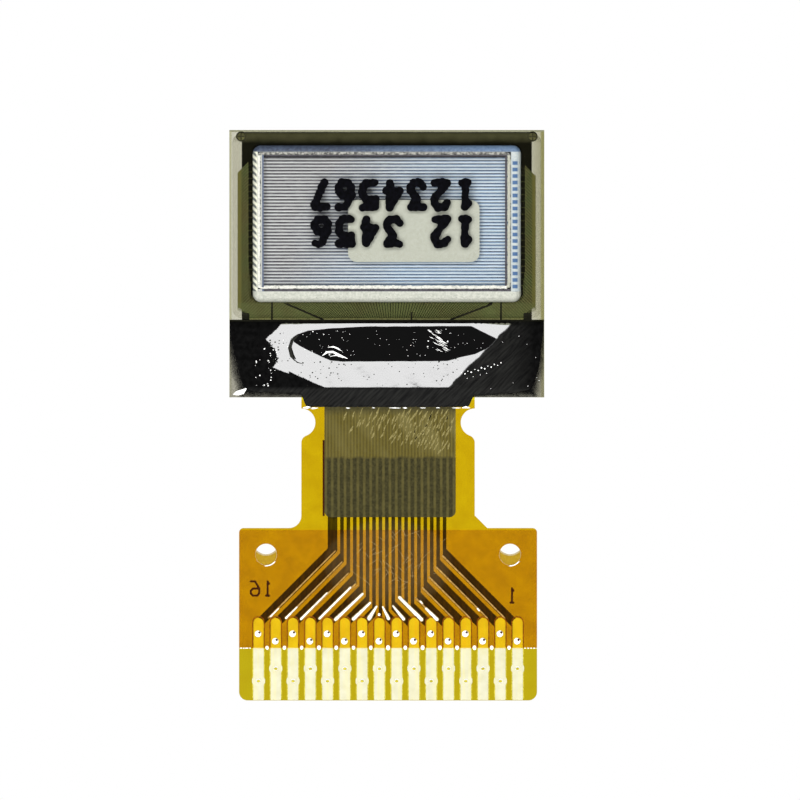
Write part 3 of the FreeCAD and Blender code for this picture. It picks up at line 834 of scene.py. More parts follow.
def ridge():
    """The ridge round the pocket's floor: an uneven round bar along a rectangle with small corners."""
    random.seed(3)
    z = box("desiccant_patch")[1].z - RIDGE_RADIUS * 0.6
    corners = (
        (RIDGE_RIGHT, RIDGE_HIGH, 0), (RIDGE_LEFT, RIDGE_HIGH, 90),
        (RIDGE_LEFT, RIDGE_LOW, 180), (RIDGE_RIGHT, RIDGE_LOW, 270),
    )
    path = []
    for x, y, start in corners:
        cx = x - math.copysign(RIDGE_CORNER, x)
        cy = y - math.copysign(RIDGE_CORNER, y)
        path += arc(cx, cy, RIDGE_CORNER, start, start + 90, 6)
    fine = []
    for a, b in zip(path, path[1:] + path[:1]):
        steps = max(1, round(math.dist(a, b) / 0.06))
        fine += [(a[0] + (b[0] - a[0]) * k / steps, a[1] + (b[1] - a[1]) * k / steps) for k in range(steps)]
    sides = 10
    vertices, faces = [], []
    for i, (x, y) in enumerate(fine):
        before, after = fine[i - 1], fine[(i + 1) % len(fine)]
        length = math.dist(before, after)
        nx, ny = (after[1] - before[1]) / length, -(after[0] - before[0]) / length
        radius = RIDGE_RADIUS * random.uniform(0.78, 1.15)
        shift = random.uniform(-0.018, 0.018)
        for out, up in arc(shift, 0, radius, 0, 360, sides, 0.5)[:-1]:
            vertices.append((x + nx * out, y + ny * out, z + up))
    for i in range(len(fine)):
        for side in range(sides):
            a, b = i * sides + side, i * sides + (side + 1) % sides
            c, d = (a + sides) % len(vertices), (b + sides) % len(vertices)
            faces.append((a, b, d, c))
    add_piece("pocket_ridge", vertices, faces, "cap_glass", "ridge_glass")


def outside(points, x, y):
    """How far each place lies outside a closed line of points. Inside it is 0."""
    nearest = np.full(x.shape, 1e9)
    inside = np.zeros(x.shape, bool)
    for (ax, ay), (bx, by) in zip(points, points[1:] + points[:1]):
        length = (bx - ax) ** 2 + (by - ay) ** 2
        share = np.clip(((x - ax) * (bx - ax) + (y - ay) * (by - ay)) / length, 0, 1)
        nearest = np.minimum(nearest, np.hypot(x - ax - share * (bx - ax), y - ay - share * (by - ay)))
        crosses = (ay > y) != (by > y)
        step = by - ay if by != ay else 1e-9
        inside ^= crosses & (x < ax + (y - ay) * (bx - ax) / step)
    return np.where(inside, 0, nearest)


def soft_step(value):
    value = np.clip(value, 0, 1)
    return value * value * (3 - 2 * value)


def glue_end(x):
    """The line where the glue ends towards the tail."""
    end = np.interp(x, *zip(*GLUE_END_LINE))
    in_lobe = soft_step((x - LOBE_LEFT) / 0.16) * soft_step((LOBE_RIGHT - x) / 0.16)
    return end + (LOBE_END - end) * in_lobe


def glue_bed(y):
    """What the glue lies on: the glass's tracks, and the tail's film beyond the glass."""
    floor_z = box("glue")[0].z + 0.004
    film_top = box("tail_base_film")[1].z + 0.004
    return np.where(y < box("substrate_glass")[0].y + 0.02, film_top, floor_z)


def glue_surface():
    """Places on the glue's upper side as arrays of x, y and z, in mm, column by column."""
    low, high = box("glue")
    cap_y = box("cap_glass")[0].y - 0.004
    blend = 0.03
    turns = np.linspace(-math.pi / 2, math.pi / 2, GLUE_COLUMNS + 1)
    xs = (low.x + high.x) / 2 + ((high.x - low.x) / 2 - 0.01) * np.sin(turns)
    ends = glue_end(xs)
    for _ in range(6):
        ends[1:-1] = (ends[:-2] + ends[1:-1] + ends[2:]) / 3
    ends = ends[:, None]
    x = np.repeat(xs[:, None], GLUE_ROWS + 1, axis=1)
    y = cap_y + (ends - cap_y) * np.linspace(0, 1, GLUE_ROWS + 1)[None, :]
    away = np.minimum(outside(CROWN, x, y), np.interp(x, [-4.3, -3.9], [LEFT_SLOPE_WIDTH, SLOPE_WIDTH]))
    slope = math.tan(math.radians(SLOPE_DEGREES))
    height = CROWN_HEIGHT - (np.sqrt(away ** 2 + blend ** 2) - blend) * slope
    height += 0.003 * (np.sin(x * 2.9 + 1) * np.sin(y * 3.7 + x) + 0.5 * np.sin(x * 7.1 + y * 5.3))
    rim = np.clip((y - ends) / GLUE_EDGE_ROUND, 0, 1)
    round_edge = 0.25 + 0.75 * np.sqrt(1 - (1 - rim) ** 2)
    height *= 1 + (round_edge - 1) * soft_step((5.2 - np.abs(x)) / 0.5)
    bed = glue_bed(y)
    return x, y, np.maximum(bed[0, 0] + height, bed + 0.02)


def glue(surface):
    """A closed skin over the ledge, the die and the end of the tail."""
    x, y, z = surface
    step = GLUE_ROWS // BED_ROWS
    top = np.stack([x, y, z], axis=-1).reshape(-1, 3).tolist()
    low_x, low_y = x[:, ::step], y[:, ::step]
    bottom = np.stack([low_x, low_y, glue_bed(low_y)], axis=-1).reshape(-1, 3).tolist()
    across, below = GLUE_ROWS + 1, BED_ROWS + 1
    count = len(top)
    faces = []
    for i in range(GLUE_COLUMNS):
        for j in range(GLUE_ROWS):
            a = i * across + j
            faces.append((a, a + 1, a + across + 1, a + across))
    upper = len(faces)
    for i in range(GLUE_COLUMNS):
        a, b = i * across, count + i * below
        for c in range(b, b + BED_ROWS):
            faces.append((c, c + below, c + below + 1, c + 1))
        faces.append((a, a + across, b + below, b))
        faces.append((a + GLUE_ROWS, b + BED_ROWS, b + below + BED_ROWS, a + across + GLUE_ROWS))
    a, b = GLUE_COLUMNS * across, count + GLUE_COLUMNS * below
    faces.append([*range(count, count + below), *reversed(range(across))])
    faces.append([*range(a, a + across), *reversed(range(b, b + below))])
    piece = add_piece("glue_look", top + bottom, faces, "black_glue", "black_glue", "dull_glue")
    middle_x = (x[:-1, :-1] + x[1:, 1:]) / 2 + 0.006 * np.sin(y[:-1, :-1] * 31)
    middle_y = (y[:-1, :-1] + y[1:, 1:]) / 2 + 0.006 * np.sin(x[:-1, :-1] * 27)
    dull = (outside(SLOPE_END, middle_x, middle_y) > 0) & (outside(CROWN, middle_x, middle_y) > 0)
    indices = np.zeros(len(faces), np.int32)
    indices[:upper] = dull.reshape(-1)
    piece.data.polygons.foreach_set("material_index", indices)
    rims = set()
    for polygon in list(piece.data.polygons)[upper:]:
        rims.update(polygon.edge_keys)
    for edge in piece.data.edges:
        edge.use_edge_sharp = tuple(sorted(edge.vertices)) in rims
    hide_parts("glue")


# Dark lines between the groups of tracks, from end to end, and dark blocks beside them, in pixels
TRACK_GAPS = (
    ((272, 303), (272, 320)), ((501, 303), (501, 320)), ((411.5, 313), (411.5, 320)),
    ((286.6, 304), (323, 319.5)), ((491, 304.5), (451, 319.5)),
)
RESIN_EDGE = (249.5, 319.7, 523.3, 318.2)
DARK_BLOCKS = ((242, 313, 249, 319), (523.5, 313, 531.5, 320))
GAP_WIDTH = 0.075
MARKS = ((-5.83, 3.58), (5.83, 3.58))
MARK_INNER, MARK_OUTER = 0.15, 0.205
CROSS_REACH, CROSS_GAP, CROSS_HALF = 0.14, 0.03, 0.022
TICKS = (316.5, 386.7, 456.3)


def ridge_shade():
    """Shade inside and below the ridge, and ticks on the lower rim."""
    z = box("desiccant_patch")[1].z - 0.012
    shades = [
        block_outline(RIDGE_LEFT + 0.08, RIDGE_LOW, RIDGE_LEFT + 0.195, RIDGE_HIGH - 0.06),
        block_outline(RIDGE_LEFT + 0.27, RIDGE_HIGH - 0.12, RIDGE_RIGHT - 0.08, RIDGE_HIGH - 0.06),
        block_outline(RIDGE_RIGHT - 0.16, RIDGE_LOW + 0.06, RIDGE_RIGHT - 0.08, RIDGE_HIGH - 0.14),
        block_outline(RIDGE_LEFT - 0.06, RIDGE_LOW - 0.17, RIDGE_RIGHT + 0.08, RIDGE_LOW - 0.07),
    ]
    for x, _ in at_pixels((px, 0) for px in TICKS):
        shades.append(block_outline(x - 0.022, RIDGE_LOW - 0.42, x + 0.022, RIDGE_LOW - 0.18))
    level_slabs("ridge_shade", shades, z, z + 0.006, "cap_glass", "shade_line")


def track_trim():
    """Even plates over the row tracks, the resin's edge, the rings' windows, and gaps between the groups."""
    z = box("left_row_tracks")[1].z
    plates = [at_pixels(lane) for lane in LANES]
    level_slabs("lane_plates", plates, z + 0.0001, z + 0.0005, "track_metal", "track_metal")
    level_slabs("resin_edge", [pixel_block(*RESIN_EDGE)], z + 0.0001, z + 0.0009, "seal_resin", "olive_line")
    mark_z = box("alignment_marks")[0].z
    windows = [round_outline(x, y, MARK_INNER, 24) for x, y in MARKS]
    level_slabs("mark_windows", windows, mark_z - 0.0012, mark_z - 0.0005, "track_metal", "olive_line")
    rings = []
    for x, y in MARKS:
        rings += [ring_outline(x, y, MARK_INNER, MARK_OUTER, 15 * k, 15 * (k + 0.96)) for k in range(24)]
        rings.append(block_outline(x - CROSS_REACH, y - CROSS_HALF, x + CROSS_REACH, y + CROSS_HALF))
        for start, end in ((-CROSS_REACH, -CROSS_GAP), (CROSS_GAP, CROSS_REACH)):
            rings.append(block_outline(x - CROSS_HALF, y + start, x + CROSS_HALF, y + end))
    level_slabs("mark_rings", rings, z + 0.0006, z + 0.0011, "track_metal", "gap_line")
    gaps = [taper_outline(*at_pixels(gap), GAP_WIDTH, GAP_WIDTH) for gap in TRACK_GAPS]
    gaps += [pixel_block(*block) for block in DARK_BLOCKS]
    level_slabs("track_gaps", gaps, z + 0.0006, z + 0.0011, "track_metal", "gap_line")
    low, high = box("cap_glass")
    edge = block_outline(low.x + 0.01, low.y - 0.02, high.x - 0.01, low.y + 0.075)
    level_slabs("crept_glue", [edge], low.z - 0.0006, low.z + 0.0006, "black_glue", "gap_line")


# Scratches, painted white as highlights, and pits in the glue as pixels along each line, with its width in mm
GLUE_ARCS = (
    (((322.5, 355.5), (327, 352.3), (333, 352), (340, 355.5), (347.5, 358.6)), 0.085),
    (((328, 347.2), (333.5, 346.8), (338, 348.6), (341.5, 351)), 0.06),
    (((330, 356.6), (336, 355.2), (343, 357.8)), 0.04),
)
GLUE_CREASES = (
    (((298.5, 335), (292, 340.5), (289.6, 348), (291.5, 356), (295, 361)), 0.13),
    (((293, 358.5), (297, 362.3), (302, 363.8)), 0.04),
)
# Pale dust with painted glints, and pits: how many, in which box of pixels, and their least and greatest
# radius in mm
LEFT_DUST_AND_GLINTS = (34, (255, 338, 300, 388), (0.01, 0.03))
DUST_AND_GLINTS = (
    (80, (300, 330, 486, 357), (0.006, 0.016)), (12, (425, 328, 455, 352), (0.012, 0.03)),
    (9, (300, 330, 345, 356), (0.012, 0.03)), (9, (488, 330, 540, 390), (0.01, 0.018)),
)
PITS = (
    (30, (268, 332, 292, 362), (0.015, 0.04)), (46, (300, 361, 450, 386), (0.01, 0.028)),
    (18, (296, 362, 345, 380), (0.02, 0.04)),
)
RIGHT_PITS = (14, (436, 356, 462, 384), (0.02, 0.035))
# Beads where the glue meets the tail, painted white as glints: first and last pixel, and thickness in pixels
EDGE_GLINTS = (
    (303, 312, 2.6), (308, 318, 1.8), (346, 350, 1.2), (372, 375, 0.8), (389, 401, 1.0),
    (403, 407, 1.4), (420, 426, 0.8), (436, 440, 0.9), (452, 461, 0.9), (462, 470, 2.2),
)
# The pale dots of dust and painted glint at the left keep to a slanted band, and the pits at the right end at
# a slanted line
LEFT_BAND = (436, 462)
RIGHT_LINE = 828
# A row of pale dots, dust with painted glints: how many, the first one's pixel, and the step to the next one
DUST_AND_GLINT_ROW = (13, (461.5, 373.5), (3.3, -0.85))
# Fine scratches, painted white as highlights: how many, and the box of pixels that they start in
SCRATCHES = (30, (426, 328, 438, 350))
EDGE_GLINT_LINE = 408
EDGE_GLINT_MIDDLE = (305, 461)
LIP_GLINT = ((233, 394.6), (236.5, 391.2), (247.4, 387.6), (243.5, 394), (238, 395.4))


def glue_smear():
    """Glue smeared thin over the ledge."""
    low, high = box("substrate_glass")
    smear = block_outline(low.x + 0.01, low.y + 0.01, high.x - 0.01, box("cap_glass")[0].y - 0.01)
    z = box("column_tracks")[1].z
    level_slabs("glue_smear", [smear], z + 0.0005, z + 0.0015, "black_glue", "thin_glue")


def glue_dust(lie, scatter):
    """Pale dust and fine scratches on the glue, whose whiteness is partly painted glint."""
    white = scatter(*LEFT_DUST_AND_GLINTS, lambda px, py: LEFT_BAND[0] < px + py * 0.5 < LEFT_BAND[1])
    for cloud in DUST_AND_GLINTS:
        white += scatter(*cloud)
    count, first, step = DUST_AND_GLINT_ROW
    for k in range(count):
        px = first[0] + k * step[0] + random.uniform(-0.3, 0.3)
        py = first[1] + k * step[1] + (1.2 if k % 2 else -0.6)
        white.append(lie(round_outline(*at_pixel(px, py), random.uniform(0.02, 0.034), 7)))
        if k < 8 and k % 2:
            white.append(lie(round_outline(*at_pixel(px + 2, py + 4.5), 0.014, 7)))
    arcs = list(GLUE_ARCS)
    count, (left, top, right, bottom) = SCRATCHES
    for _ in range(count):
        py = random.uniform(top, bottom)
        px = random.uniform(left, right) + (py - top) * 0.4
        reach, drop = random.uniform(2.5, 7), random.uniform(1.5, 4)
        line = ((px, py), (px + reach * 0.5, py + drop * 0.6), (px + reach, py + drop))
        arcs.append((line, random.uniform(0.012, 0.03)))
    white += [lie(stroke_outline(at_pixels(line), width), 0.004) for line, width in arcs]
    slabs("glue_dust", white, "black_glue", "white_glint")


def glue_pits(lie, scatter):
    """Dark pits in the glue and creases in its left end."""
    dark = []
    for cloud in PITS:
        dark += scatter(*cloud)
    dark += scatter(*RIGHT_PITS, lambda px, py: px + py < RIGHT_LINE)
    dark += [lie(stroke_outline(at_pixels(line), width)) for line, width in GLUE_CREASES]
    slabs("glue_pits", dark, "black_glue", "gap_line")


def tail_varnish():
    """Beads where the glue meets the tail, painted white as glints, and a painted glint on the glue's lip."""
    z = box("tail_base_film")[1].z
    beads = []
    for first, last, thick in EDGE_GLINTS:
        lift = 1 if first < EDGE_GLINT_MIDDLE[0] or first > EDGE_GLINT_MIDDLE[1] else 0
        middle = ((first + last) / 2, EDGE_GLINT_LINE + random.uniform(-0.4, 0.4) - lift)
        line = at_pixels(((first, EDGE_GLINT_LINE - 0.2), middle, (last, EDGE_GLINT_LINE)))
        beads.append(stroke_outline(line, thick / PIXELS_PER_MM))
    level_slabs("tail_varnish", beads, z + 0.05, z + 0.062, "black_glue", "white_glint")
    level_slabs("glue_lip", [at_pixels(LIP_GLINT)], z - 0.05, z - 0.046, "black_glue", "white_glint")


def glue_marks(surface):
    """All the thin marks on the glue. The draws of the random numbers follow this order."""
    random.seed(5)
    grid_x, grid_y, grid_z = surface

    def lie(points, thickness=0.006):
        """The shape with the height of the glue under it."""
        heights = [grid_z.flat[np.argmin((grid_x - x) ** 2 + (grid_y - y) ** 2)] for x, y in points]
        height = float(max(heights))
        return points, height - thickness, height + thickness * 0.5

    def scatter(count, area, sizes, rule=None):
        """Round dots in a box of pixels, where the rule allows them."""
        made = []
        while len(made) < count:
            px, py = random.uniform(area[0], area[2]), random.uniform(area[1], area[3])
            if rule and not rule(px, py):
                continue
            radius = random.uniform(*sizes)
            made.append(lie(round_outline(*at_pixel(px, py), radius, 7, random.uniform(0.6, 1))))
        return made

    glue_smear()
    glue_dust(lie, scatter)
    glue_pits(lie, scatter)
    tail_varnish()


# Each digit as strokes on a grid of 4 by 6
STROKES = {
    "1": (((1, 5), (2, 6), (2, 0)), ((1, 0), (3, 0))),
    "2": (((0, 5), (1, 6), (3, 6), (4, 5), (4, 4), (0, 0), (4, 0)),),
    "3": (((0, 6), (4, 6), (2, 4), (4, 2), (4, 1), (3, 0), (1, 0), (0, 1)),),
    "4": (((3, 0), (3, 6), (0, 2), (4, 2)),),
    "5": (((4, 6), (0, 6), (0, 4), (3, 4), (4, 3), (4, 1), (3, 0), (0, 0)),),
    "6": (((4, 6), (2, 6), (0, 3), (0, 1), (1, 0), (3, 0), (4, 1), (4, 2), (3, 3), (0, 3)),),
    "7": (((0, 6), (4, 6), (4, 5), (1, 0)),),
}


def digit_dots(digit, x, y, width, height, radius, turn, rough=0.0):
    """Dots along a digit's strokes. turn is -1, -1 for upside down, and -1, 1 for mirrored."""
    dots = []
    for stroke in STROKES.get(digit, ()):
        for (ax, ay), (bx, by) in zip(stroke, stroke[1:]):
            reach = math.hypot((bx - ax) / 4 * width, (by - ay) / 6 * height)
            steps = max(2, round(reach / radius * 1.5))
            for k in range(steps + 1):
                across = (ax + (bx - ax) * k / steps) / 4 - 0.5
                up = (ay + (by - ay) * k / steps) / 6 - 0.5
                dx, dy = random.uniform(-rough, rough), random.uniform(-rough, rough)
                size = radius * random.uniform(1 - rough * 5, 1 + rough * 5)
                dots.append((x + turn[0] * across * width + dx, y + turn[1] * up * height + dy, size))
    return dots


def printed(name, dots, voxel, base, thickness, slot, material):
    """Dots of ink run together. They are merged as thick studs, and then flattened."""
    work = bmesh.new()
    for x, y, radius in dots:
        made = bmesh.ops.create_cone(
            work, cap_ends=True, segments=14, radius1=radius, radius2=radius,
            depth=voxel * random.uniform(16, 22),
        )
        bmesh.ops.translate(work, verts=made["verts"], vec=(x, y, 0))
    mesh = bpy.data.meshes.new(name + "_studs")
    work.to_mesh(mesh)
    work.free()
    studs = stand(name + "_studs", mesh)
    merge = studs.modifiers.new("merge", "REMESH")
    merge.mode = "VOXEL"
    merge.voxel_size = voxel
    studs.modifiers.new("smooth", "SMOOTH").iterations = 3
    done = bpy.data.meshes.new_from_object(studs.evaluated_get(bpy.context.evaluated_depsgraph_get()))
    bpy.data.objects.remove(studs)
    reach = max(abs(v.co.z) for v in done.vertices)
    vertices = [(v.co.x, v.co.y, base + thickness * (v.co.z / reach + 1) / 2) for v in done.vertices]
    faces = [tuple(p.vertices) for p in done.polygons]
    return add_piece(name, vertices, faces, slot, material)


def ink_code():
    """Plain counting digits, upside down, where the module has an inked code."""
    random.seed(11)
    dots = []
    for text, right, middle in INK_LINES:
        for index, digit in enumerate(text):
            x = right - index * INK_PITCH
            dots += digit_dots(digit, x, middle, INK_WIDTH, INK_HEIGHT, INK_DOT, (-1, -1), 0.025)
    printed("ink_code", dots, 0.028, box("cap_glass")[1].z + 0.0005, 0.012, "black_glue", "black_ink")


def pin_marks():
    """Mirrored numbers of the first and the last pin, with short feet."""
    random.seed(12)
    dots = []
    for digit, width, pixel in PIN_DIGITS:
        dots += digit_dots(digit, *at_pixel(*pixel), width, PIN_HEIGHT, PIN_DOT, (-1, 1), 0.003)
    printed("pin_marks", dots, 0.011, box("tail_back_cover")[1].z - 0.001, 0.004, "amber_cover", "brown_ink_and_shade")


# Rows of wrinkles in the neck, drawn as painted highlights: height, first and last pixel
WRINKLE_ROWS = (
    (415, 345, 452), (421, 356, 452), (427, 350, 452), (434, 372, 450), (441, 392, 450), (449, 424, 452),
)
# A dark line of painted shade at the left edge of the neck cover, from corner to corner in pixels
EDGE_SHADE_LINE = (322.6, 516, 324.6, 440)


def neck_wrinkles():
    """Wrinkles in the neck cover drawn as painted highlights, and a dark line of painted shade at its left
    edge.
    """
    z = box("neck_cover")[1].z
    wrinkles = []
    for py, first, last in WRINKLE_ROWS:
        px = first + random.uniform(0, 3)
        while px < last:
            x, y = at_pixel(px, py + random.uniform(-3, 3))
            reach = random.uniform(0.2, 0.42)
            aside = reach * random.uniform(0.3, 0.6) / 2
            bend = random.uniform(-0.04, 0.04)
            points = [(x - aside, y - reach / 2), (x + bend, y), (x + aside + bend, y + reach / 2)]
            wrinkles.append(stroke_outline(points, random.uniform(0.05, 0.09)))
            px += random.uniform(2.6, 6) * (1.6 if px < 400 else 1)
    level_slabs("neck_wrinkles", wrinkles, z - SINK, z + 0.004, "dark_cover", "olive_glint")
    line = pixel_block(*EDGE_SHADE_LINE)
    level_slabs("cover_edge_shade", [line], z - 0.045, z - 0.03, "dark_cover", "brown_ink_and_shade")


def via_places(pixels):
    """Centres of one via on each finger. The vias stand at two heights by turns."""
    return [(FIRST_FINGER + k * FINGER_PITCH, at_pixel(0, pixels[k % 2])[1]) for k in range(FINGERS)]


# Dashes of light where the cover ends beside the fingers: first and last pixel, and their height
COVER_DASHES = ((239.8, 251), (524.5, 537.4))
DASH_LOW, DASH_HIGH = 648.6, 647.7
CRESCENT_OUTER, CRESCENT_INNER = 0.468, 0.435


def cover_glints(z):
    """Light on the bulges over the vias, on the cover's uneven end, and beside the holes."""
    white = []
    for x, y in via_places(COVERED_VIAS):
        white.append((round_outline(x - 0.02, y - 0.02, 0.13, 14), z - SINK, z + 0.006))
        if x < FIRST_FINGER + (FINGERS - 1.5) * FINGER_PITCH:
            size = random.uniform(0.06, 0.085)
            bead = round_outline(x + FINGER_PITCH / 2, COVER_END + 0.01, size, 9, 1.25)
            white.append((bead, z - SINK, z + 0.005))
    for first, last in COVER_DASHES:
        px = first
        while px < last:
            wide = random.uniform(1, 3.2)
            dash = pixel_block(px, DASH_LOW, min(px + wide, last), DASH_HIGH)
            white.append((dash, z - SINK, z + 0.003))
            px += wide + random.uniform(0.6, 1.6)
    for x, y in HOLES:
        crescent = arc(x, y, CRESCENT_OUTER, 262, 326, 8, 1.0085) + arc(x, y, CRESCENT_INNER, 318, 270, 6)
        white.append((crescent, z - SINK, z + 0.003))
    slabs("cover_glints", white, "amber_cover", "white_glint")


def finger_shades(z):
    """Dark lines round the covered fingers and beside the bare pads, and shades in the vias."""
    edges, sides = [], []
    outer, round_y = FINGER_HALF + FINGER_SHADE, HEAD_TOP - FINGER_HALF
    for k in range(FINGERS):
        x = FIRST_FINGER + k * FINGER_PITCH
        for left, right in ((x - outer, x - FINGER_HALF), (x + FINGER_HALF, x + outer)):
            edges.append(block_outline(left, COVER_END + 0.02, right, round_y))
            sides.append(block_outline(left, SHADES_END, right, COVER_END - 0.02))
        edges += [ring_outline(x, round_y, FINGER_HALF, outer, 18 * j, 18 * (j + 0.97)) for j in range(10)]
    film_z = box("tail_base_film")[1].z
    pad_z = box("conductor_01")[1].z
    vias = [round_outline(x, y, 0.075, 12, 0.75) for x, y in via_places(BARE_VIAS)]
    dimples = [round_outline(x + 0.035, y + 0.035, 0.05, 10) for x, y in via_places(COVERED_VIAS)]
    level_slabs("finger_shades", edges, z - SINK, z + 0.002, "amber_cover", "finger_shade")
    level_slabs("pad_shades", sides, film_z - 0.001, film_z + 0.003, "amber_film", "pad_shade")
    level_slabs("via_shades", vias, pad_z - 0.001, pad_z + 0.0015, "gold_plated_copper", "via_shade")
    # The dark dots in the bulges over the covered vias are painted shade, in the brown of the pin numbers'
    # ink
    level_slabs("via_dimples", dimples, z + 0.0062, z + 0.008, "amber_cover", "brown_ink_and_shade")


# Light on the film's steep sides between the slanted runs: both ends, and the width at each, in pixels
STREAKS = (
    (270.5, 616.5, 278.5, 608.5, 1.6, 1.0), (286, 618, 297, 607, 2.0, 1.1),
    (301, 619, 327, 593, 2.2, 1.1), (319.5, 618.5, 350.5, 587.5, 2.3, 1.8),
    (335.5, 619.5, 362.5, 594, 3.2, 2.2), (353.5, 619, 370, 603, 3.6, 2.2),
    (369, 618.5, 376.5, 606.5, 4.4, 1.6), (388.5, 618.5, 382.8, 607, 3.2, 1.4),
    (403.5, 619, 393, 606, 3.4, 1.4), (421.5, 619.5, 399.5, 597.5, 3.8, 3.0),
    (437, 619.5, 426, 608.5, 3.4, 2.2),
    (422.2, 603.4, 420.2, 601.2, 1.6, 1.2), (479.2, 610.4, 477.4, 608.4, 1.6, 1.2),
)
STREAK_SPOT = (379.2, 614.6)
# The bright core is narrower than the streak, at its near and its far end, and the halo is wider
CORE_NEAR, CORE_FAR = 25 / 32, 25 / 34
HALO_EXTRA = 0.035
# Fine lines beside the runs start at these pixels: height at the left, and place and height at the right
RUNS_END = 617.8
FIRST_RUN, RUN_STEP = 268.5, 17.65
LEFT_RUNS = (551, 562, 573, 584, 596, 606)
RIGHT_RUNS = ((198, 608), (182.3, 598), (165.3, 588), (148, 577), (130.7, 567), (113.3, 556))
# Scratches in the film: how many, middle and spread across, and the range of heights, in pixels
FILM_SCRATCHES = (56, (388, 24), (532, 590))


def relief(z):
    """Light on the relief that the fan-out gives the film, and scratches in the film over its middle."""
    streaks, halos = [], []
    for x0, y0, x1, y1, near, far in STREAKS:
        ends = at_pixels(((x0, y0), (x1, y1)))
        near, far = near / PIXELS_PER_MM, far / PIXELS_PER_MM
        streaks.append(taper_outline(*ends, near * CORE_NEAR, far * CORE_FAR))
        halos.append(taper_outline(*ends, near + HALO_EXTRA, far + HALO_EXTRA))
    streaks.append(round_outline(*at_pixel(*STREAK_SPOT), 0.055, 10))
    runs = []
    for k, py in enumerate(LEFT_RUNS):
        px = FIRST_RUN + RUN_STEP * k
        runs.append(((px + RUNS_END - py, py), (px, RUNS_END)))
    runs += [((RUNS_END - drop, RUNS_END), (py - drop, py)) for drop, py in RIGHT_RUNS]
    faint = [taper_outline(*at_pixels(run), 0.05, 0.066) for run in runs]
    scratches = []
    count, across, heights = FILM_SCRATCHES
    for _ in range(count):
        x, y = at_pixel(random.gauss(*across), random.uniform(*heights))
        reach = random.uniform(0.12, 0.6)
        turn = random.choice((random.gauss(0.6, 0.25), random.gauss(2.3, 0.3)))
        dx, dy = reach * math.cos(turn), reach * math.sin(turn)
        bend = (x + dx * 0.5 + 0.01, y + dy * 0.5)
        scratches.append(stroke_outline([(x, y), bend, (x + dx, y + dy)], 0.009))
    for name, outlines, height, material in (
        ("relief_streaks", streaks, 0.004, "white_glint"), ("relief_halos", halos, 0.002, "relief_halo"),
        ("relief_lines", faint, 0.003, "amber_glint"), ("film_scratches", scratches, 0.002, "grey_glint"),
    ):
        level_slabs(name, outlines, z - SINK, z + height, "amber_cover", material)


def hole_line(x, y, tip, sag):
    """A line across a locating hole, from its left wall to its right, that sags between them."""
    half, level = HOLE_WALL * math.cos(math.radians(tip)), HOLE_WALL * math.sin(math.radians(tip))
    shares = [k / 6 for k in range(-6, 7)]
    return [(x + half * share, y + level - sag * (1 - share * share)) for share in shares]


def hole_rims():
    """Painted amber shadow in the lower part of each locating hole, with a paler edge of painted shadow above
    it.
    """
    low, high = (corner.z for corner in box("tail_base_film"))
    rims, edges = [], []
    for x, y in HOLES:
        lower, upper = hole_line(x, y, 16, 0.17), hole_line(x, y, 25, 0.17)
        rims.append(arc(x, y, HOLE_WALL, 172, 364, 24) + lower[::-1])
        edges.append(lower + upper[::-1])
    # Both pieces paint the shadow seen through each hole
    level_slabs("hole_rims", rims, low + 0.003, high - 0.003, "amber_film", "hole_shadow_amber")
    level_slabs("hole_shadow_edges", edges, low + 0.003, high - 0.008, "amber_film", "hole_shadow_pale")


def tail_trim():
    """All the thin marks on the tail. The draws of the random numbers follow this order."""
    random.seed(21)
    z = box("tail_back_cover")[1].z
    neck_wrinkles()
    cover_glints(z)
    finger_shades(z)
    relief(z)
    hole_rims()


def light(name, x, y, wide, deep):
    """A soft box beside the camera that faces down."""
    lamp = bpy.data.lights.new(name, "AREA")
    lamp.shape = "RECTANGLE"
    lamp.size, lamp.size_y = wide * MM, deep * MM
    lamp.energy = BOX_RADIANCE * math.pi * lamp.size * lamp.size_y
    stand(name, lamp, (x, y, BOX_HEIGHT)).visible_camera = False


def room():
    """A dim room, darkest straight above, where the camera is, and white where the camera sees it."""
    world = bpy.data.worlds.new("room")
    bpy.context.scene.world = world
    g = Graph("room", world)
    up = g.axes(g.nodes.new("ShaderNodeTexCoord").outputs["Generated"])[2]
    skies = []
    for strength in (g.ramp(up, 0.35, 0.97, 0.5, 0.03), 1.0):
        sky = g.nodes.new("ShaderNodeBackground")
        sky.inputs["Color"].default_value = (1, 1, 1, 1)
        g.put(sky.inputs["Strength"], strength)
        skies.append(sky.outputs[0])
    g.done(g.blend(g.seen_by("Is Camera Ray"), *skies), "ShaderNodeOutputWorld")


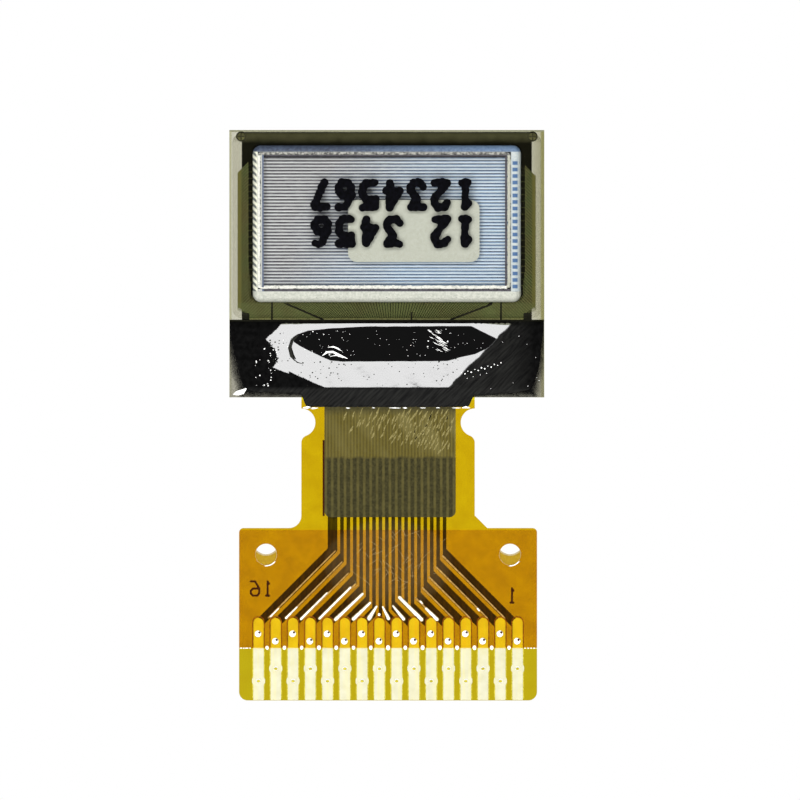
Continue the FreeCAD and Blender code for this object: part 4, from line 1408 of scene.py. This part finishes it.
def studio():
    """Camera, soft boxes on three sides of it, dim room and white floor."""
    camera = bpy.data.cameras.new("camera")
    camera.type = "ORTHO"
    camera.ortho_scale = VIEW_WIDTH * MM
    camera.clip_start, camera.clip_end = MM, 1.0
    bpy.context.scene.camera = stand("camera", camera, (*VIEW_CENTRE, CAMERA_HEIGHT))
    light("near_box", 0, -BOX_REACH, BOX_LENGTH, BOX_DEPTH)
    light("far_box", 0, BOX_REACH, BOX_LENGTH, BOX_DEPTH)
    light("left_box", -BOX_REACH, 0, BOX_DEPTH, BOX_REACH * 2 - BOX_DEPTH)
    room()
    outline = block_outline(-FLOOR_REACH, -FLOOR_REACH, FLOOR_REACH, FLOOR_REACH)
    corners = [(x, y, -FLOOR_DROP) for x, y in outline]
    floor = stand("floor", new_mesh("floor", corners, [(0, 1, 2, 3)]))
    dress(floor, "white_floor")


def panel():
    glasses()
    for node, slot in (
        ("seal_bead", "seal_resin"), ("organic_layer", "organic_film"), ("anode_columns", "clear_conductor"),
    ):
        shrunk_copy(node, slot, slot)
    rows()
    row_tracks()
    for node, material in (
        ("polarizer", "polarizer_film"), ("column_tracks", "track_metal"), ("input_tracks", "track_metal"),
        ("alignment_marks", "mark_metal"), ("desiccant_patch", "desiccant_paste"), ("driver_die", "silicon"),
        ("die_bond_film", "bond_film"), ("tail_bond_film", "bond_film"),
    ):
        dress(NODES[node], material)
    ridge()
    ridge_shade()
    track_trim()
    ink_code()
    surface = glue_surface()
    glue(surface)
    glue_marks(surface)


def tail():
    shrunk_copy("tail_base_film", "amber_film", "base_film")
    shrunk_copy("tail_front_cover", "amber_cover", "front_cover")
    shrunk_copy("tail_back_cover", "amber_cover", "back_cover")
    cover = shrunk_copy("neck_cover", "dark_cover", "dark_cover")
    low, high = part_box("neck_cover")
    for vertex in cover.data.vertices:
        if vertex.co.y > high.y - 0.4 * MM:
            left = vertex.co.x < (low.x + high.x) / 2
            vertex.co.x = low.x + SHRINK * MM if left else high.x - SHRINK * MM
    pin_marks()
    tail_trim()
    conductors()


bpy.context.scene.view_settings.view_transform = "Standard"
studio()
panel()
tail()
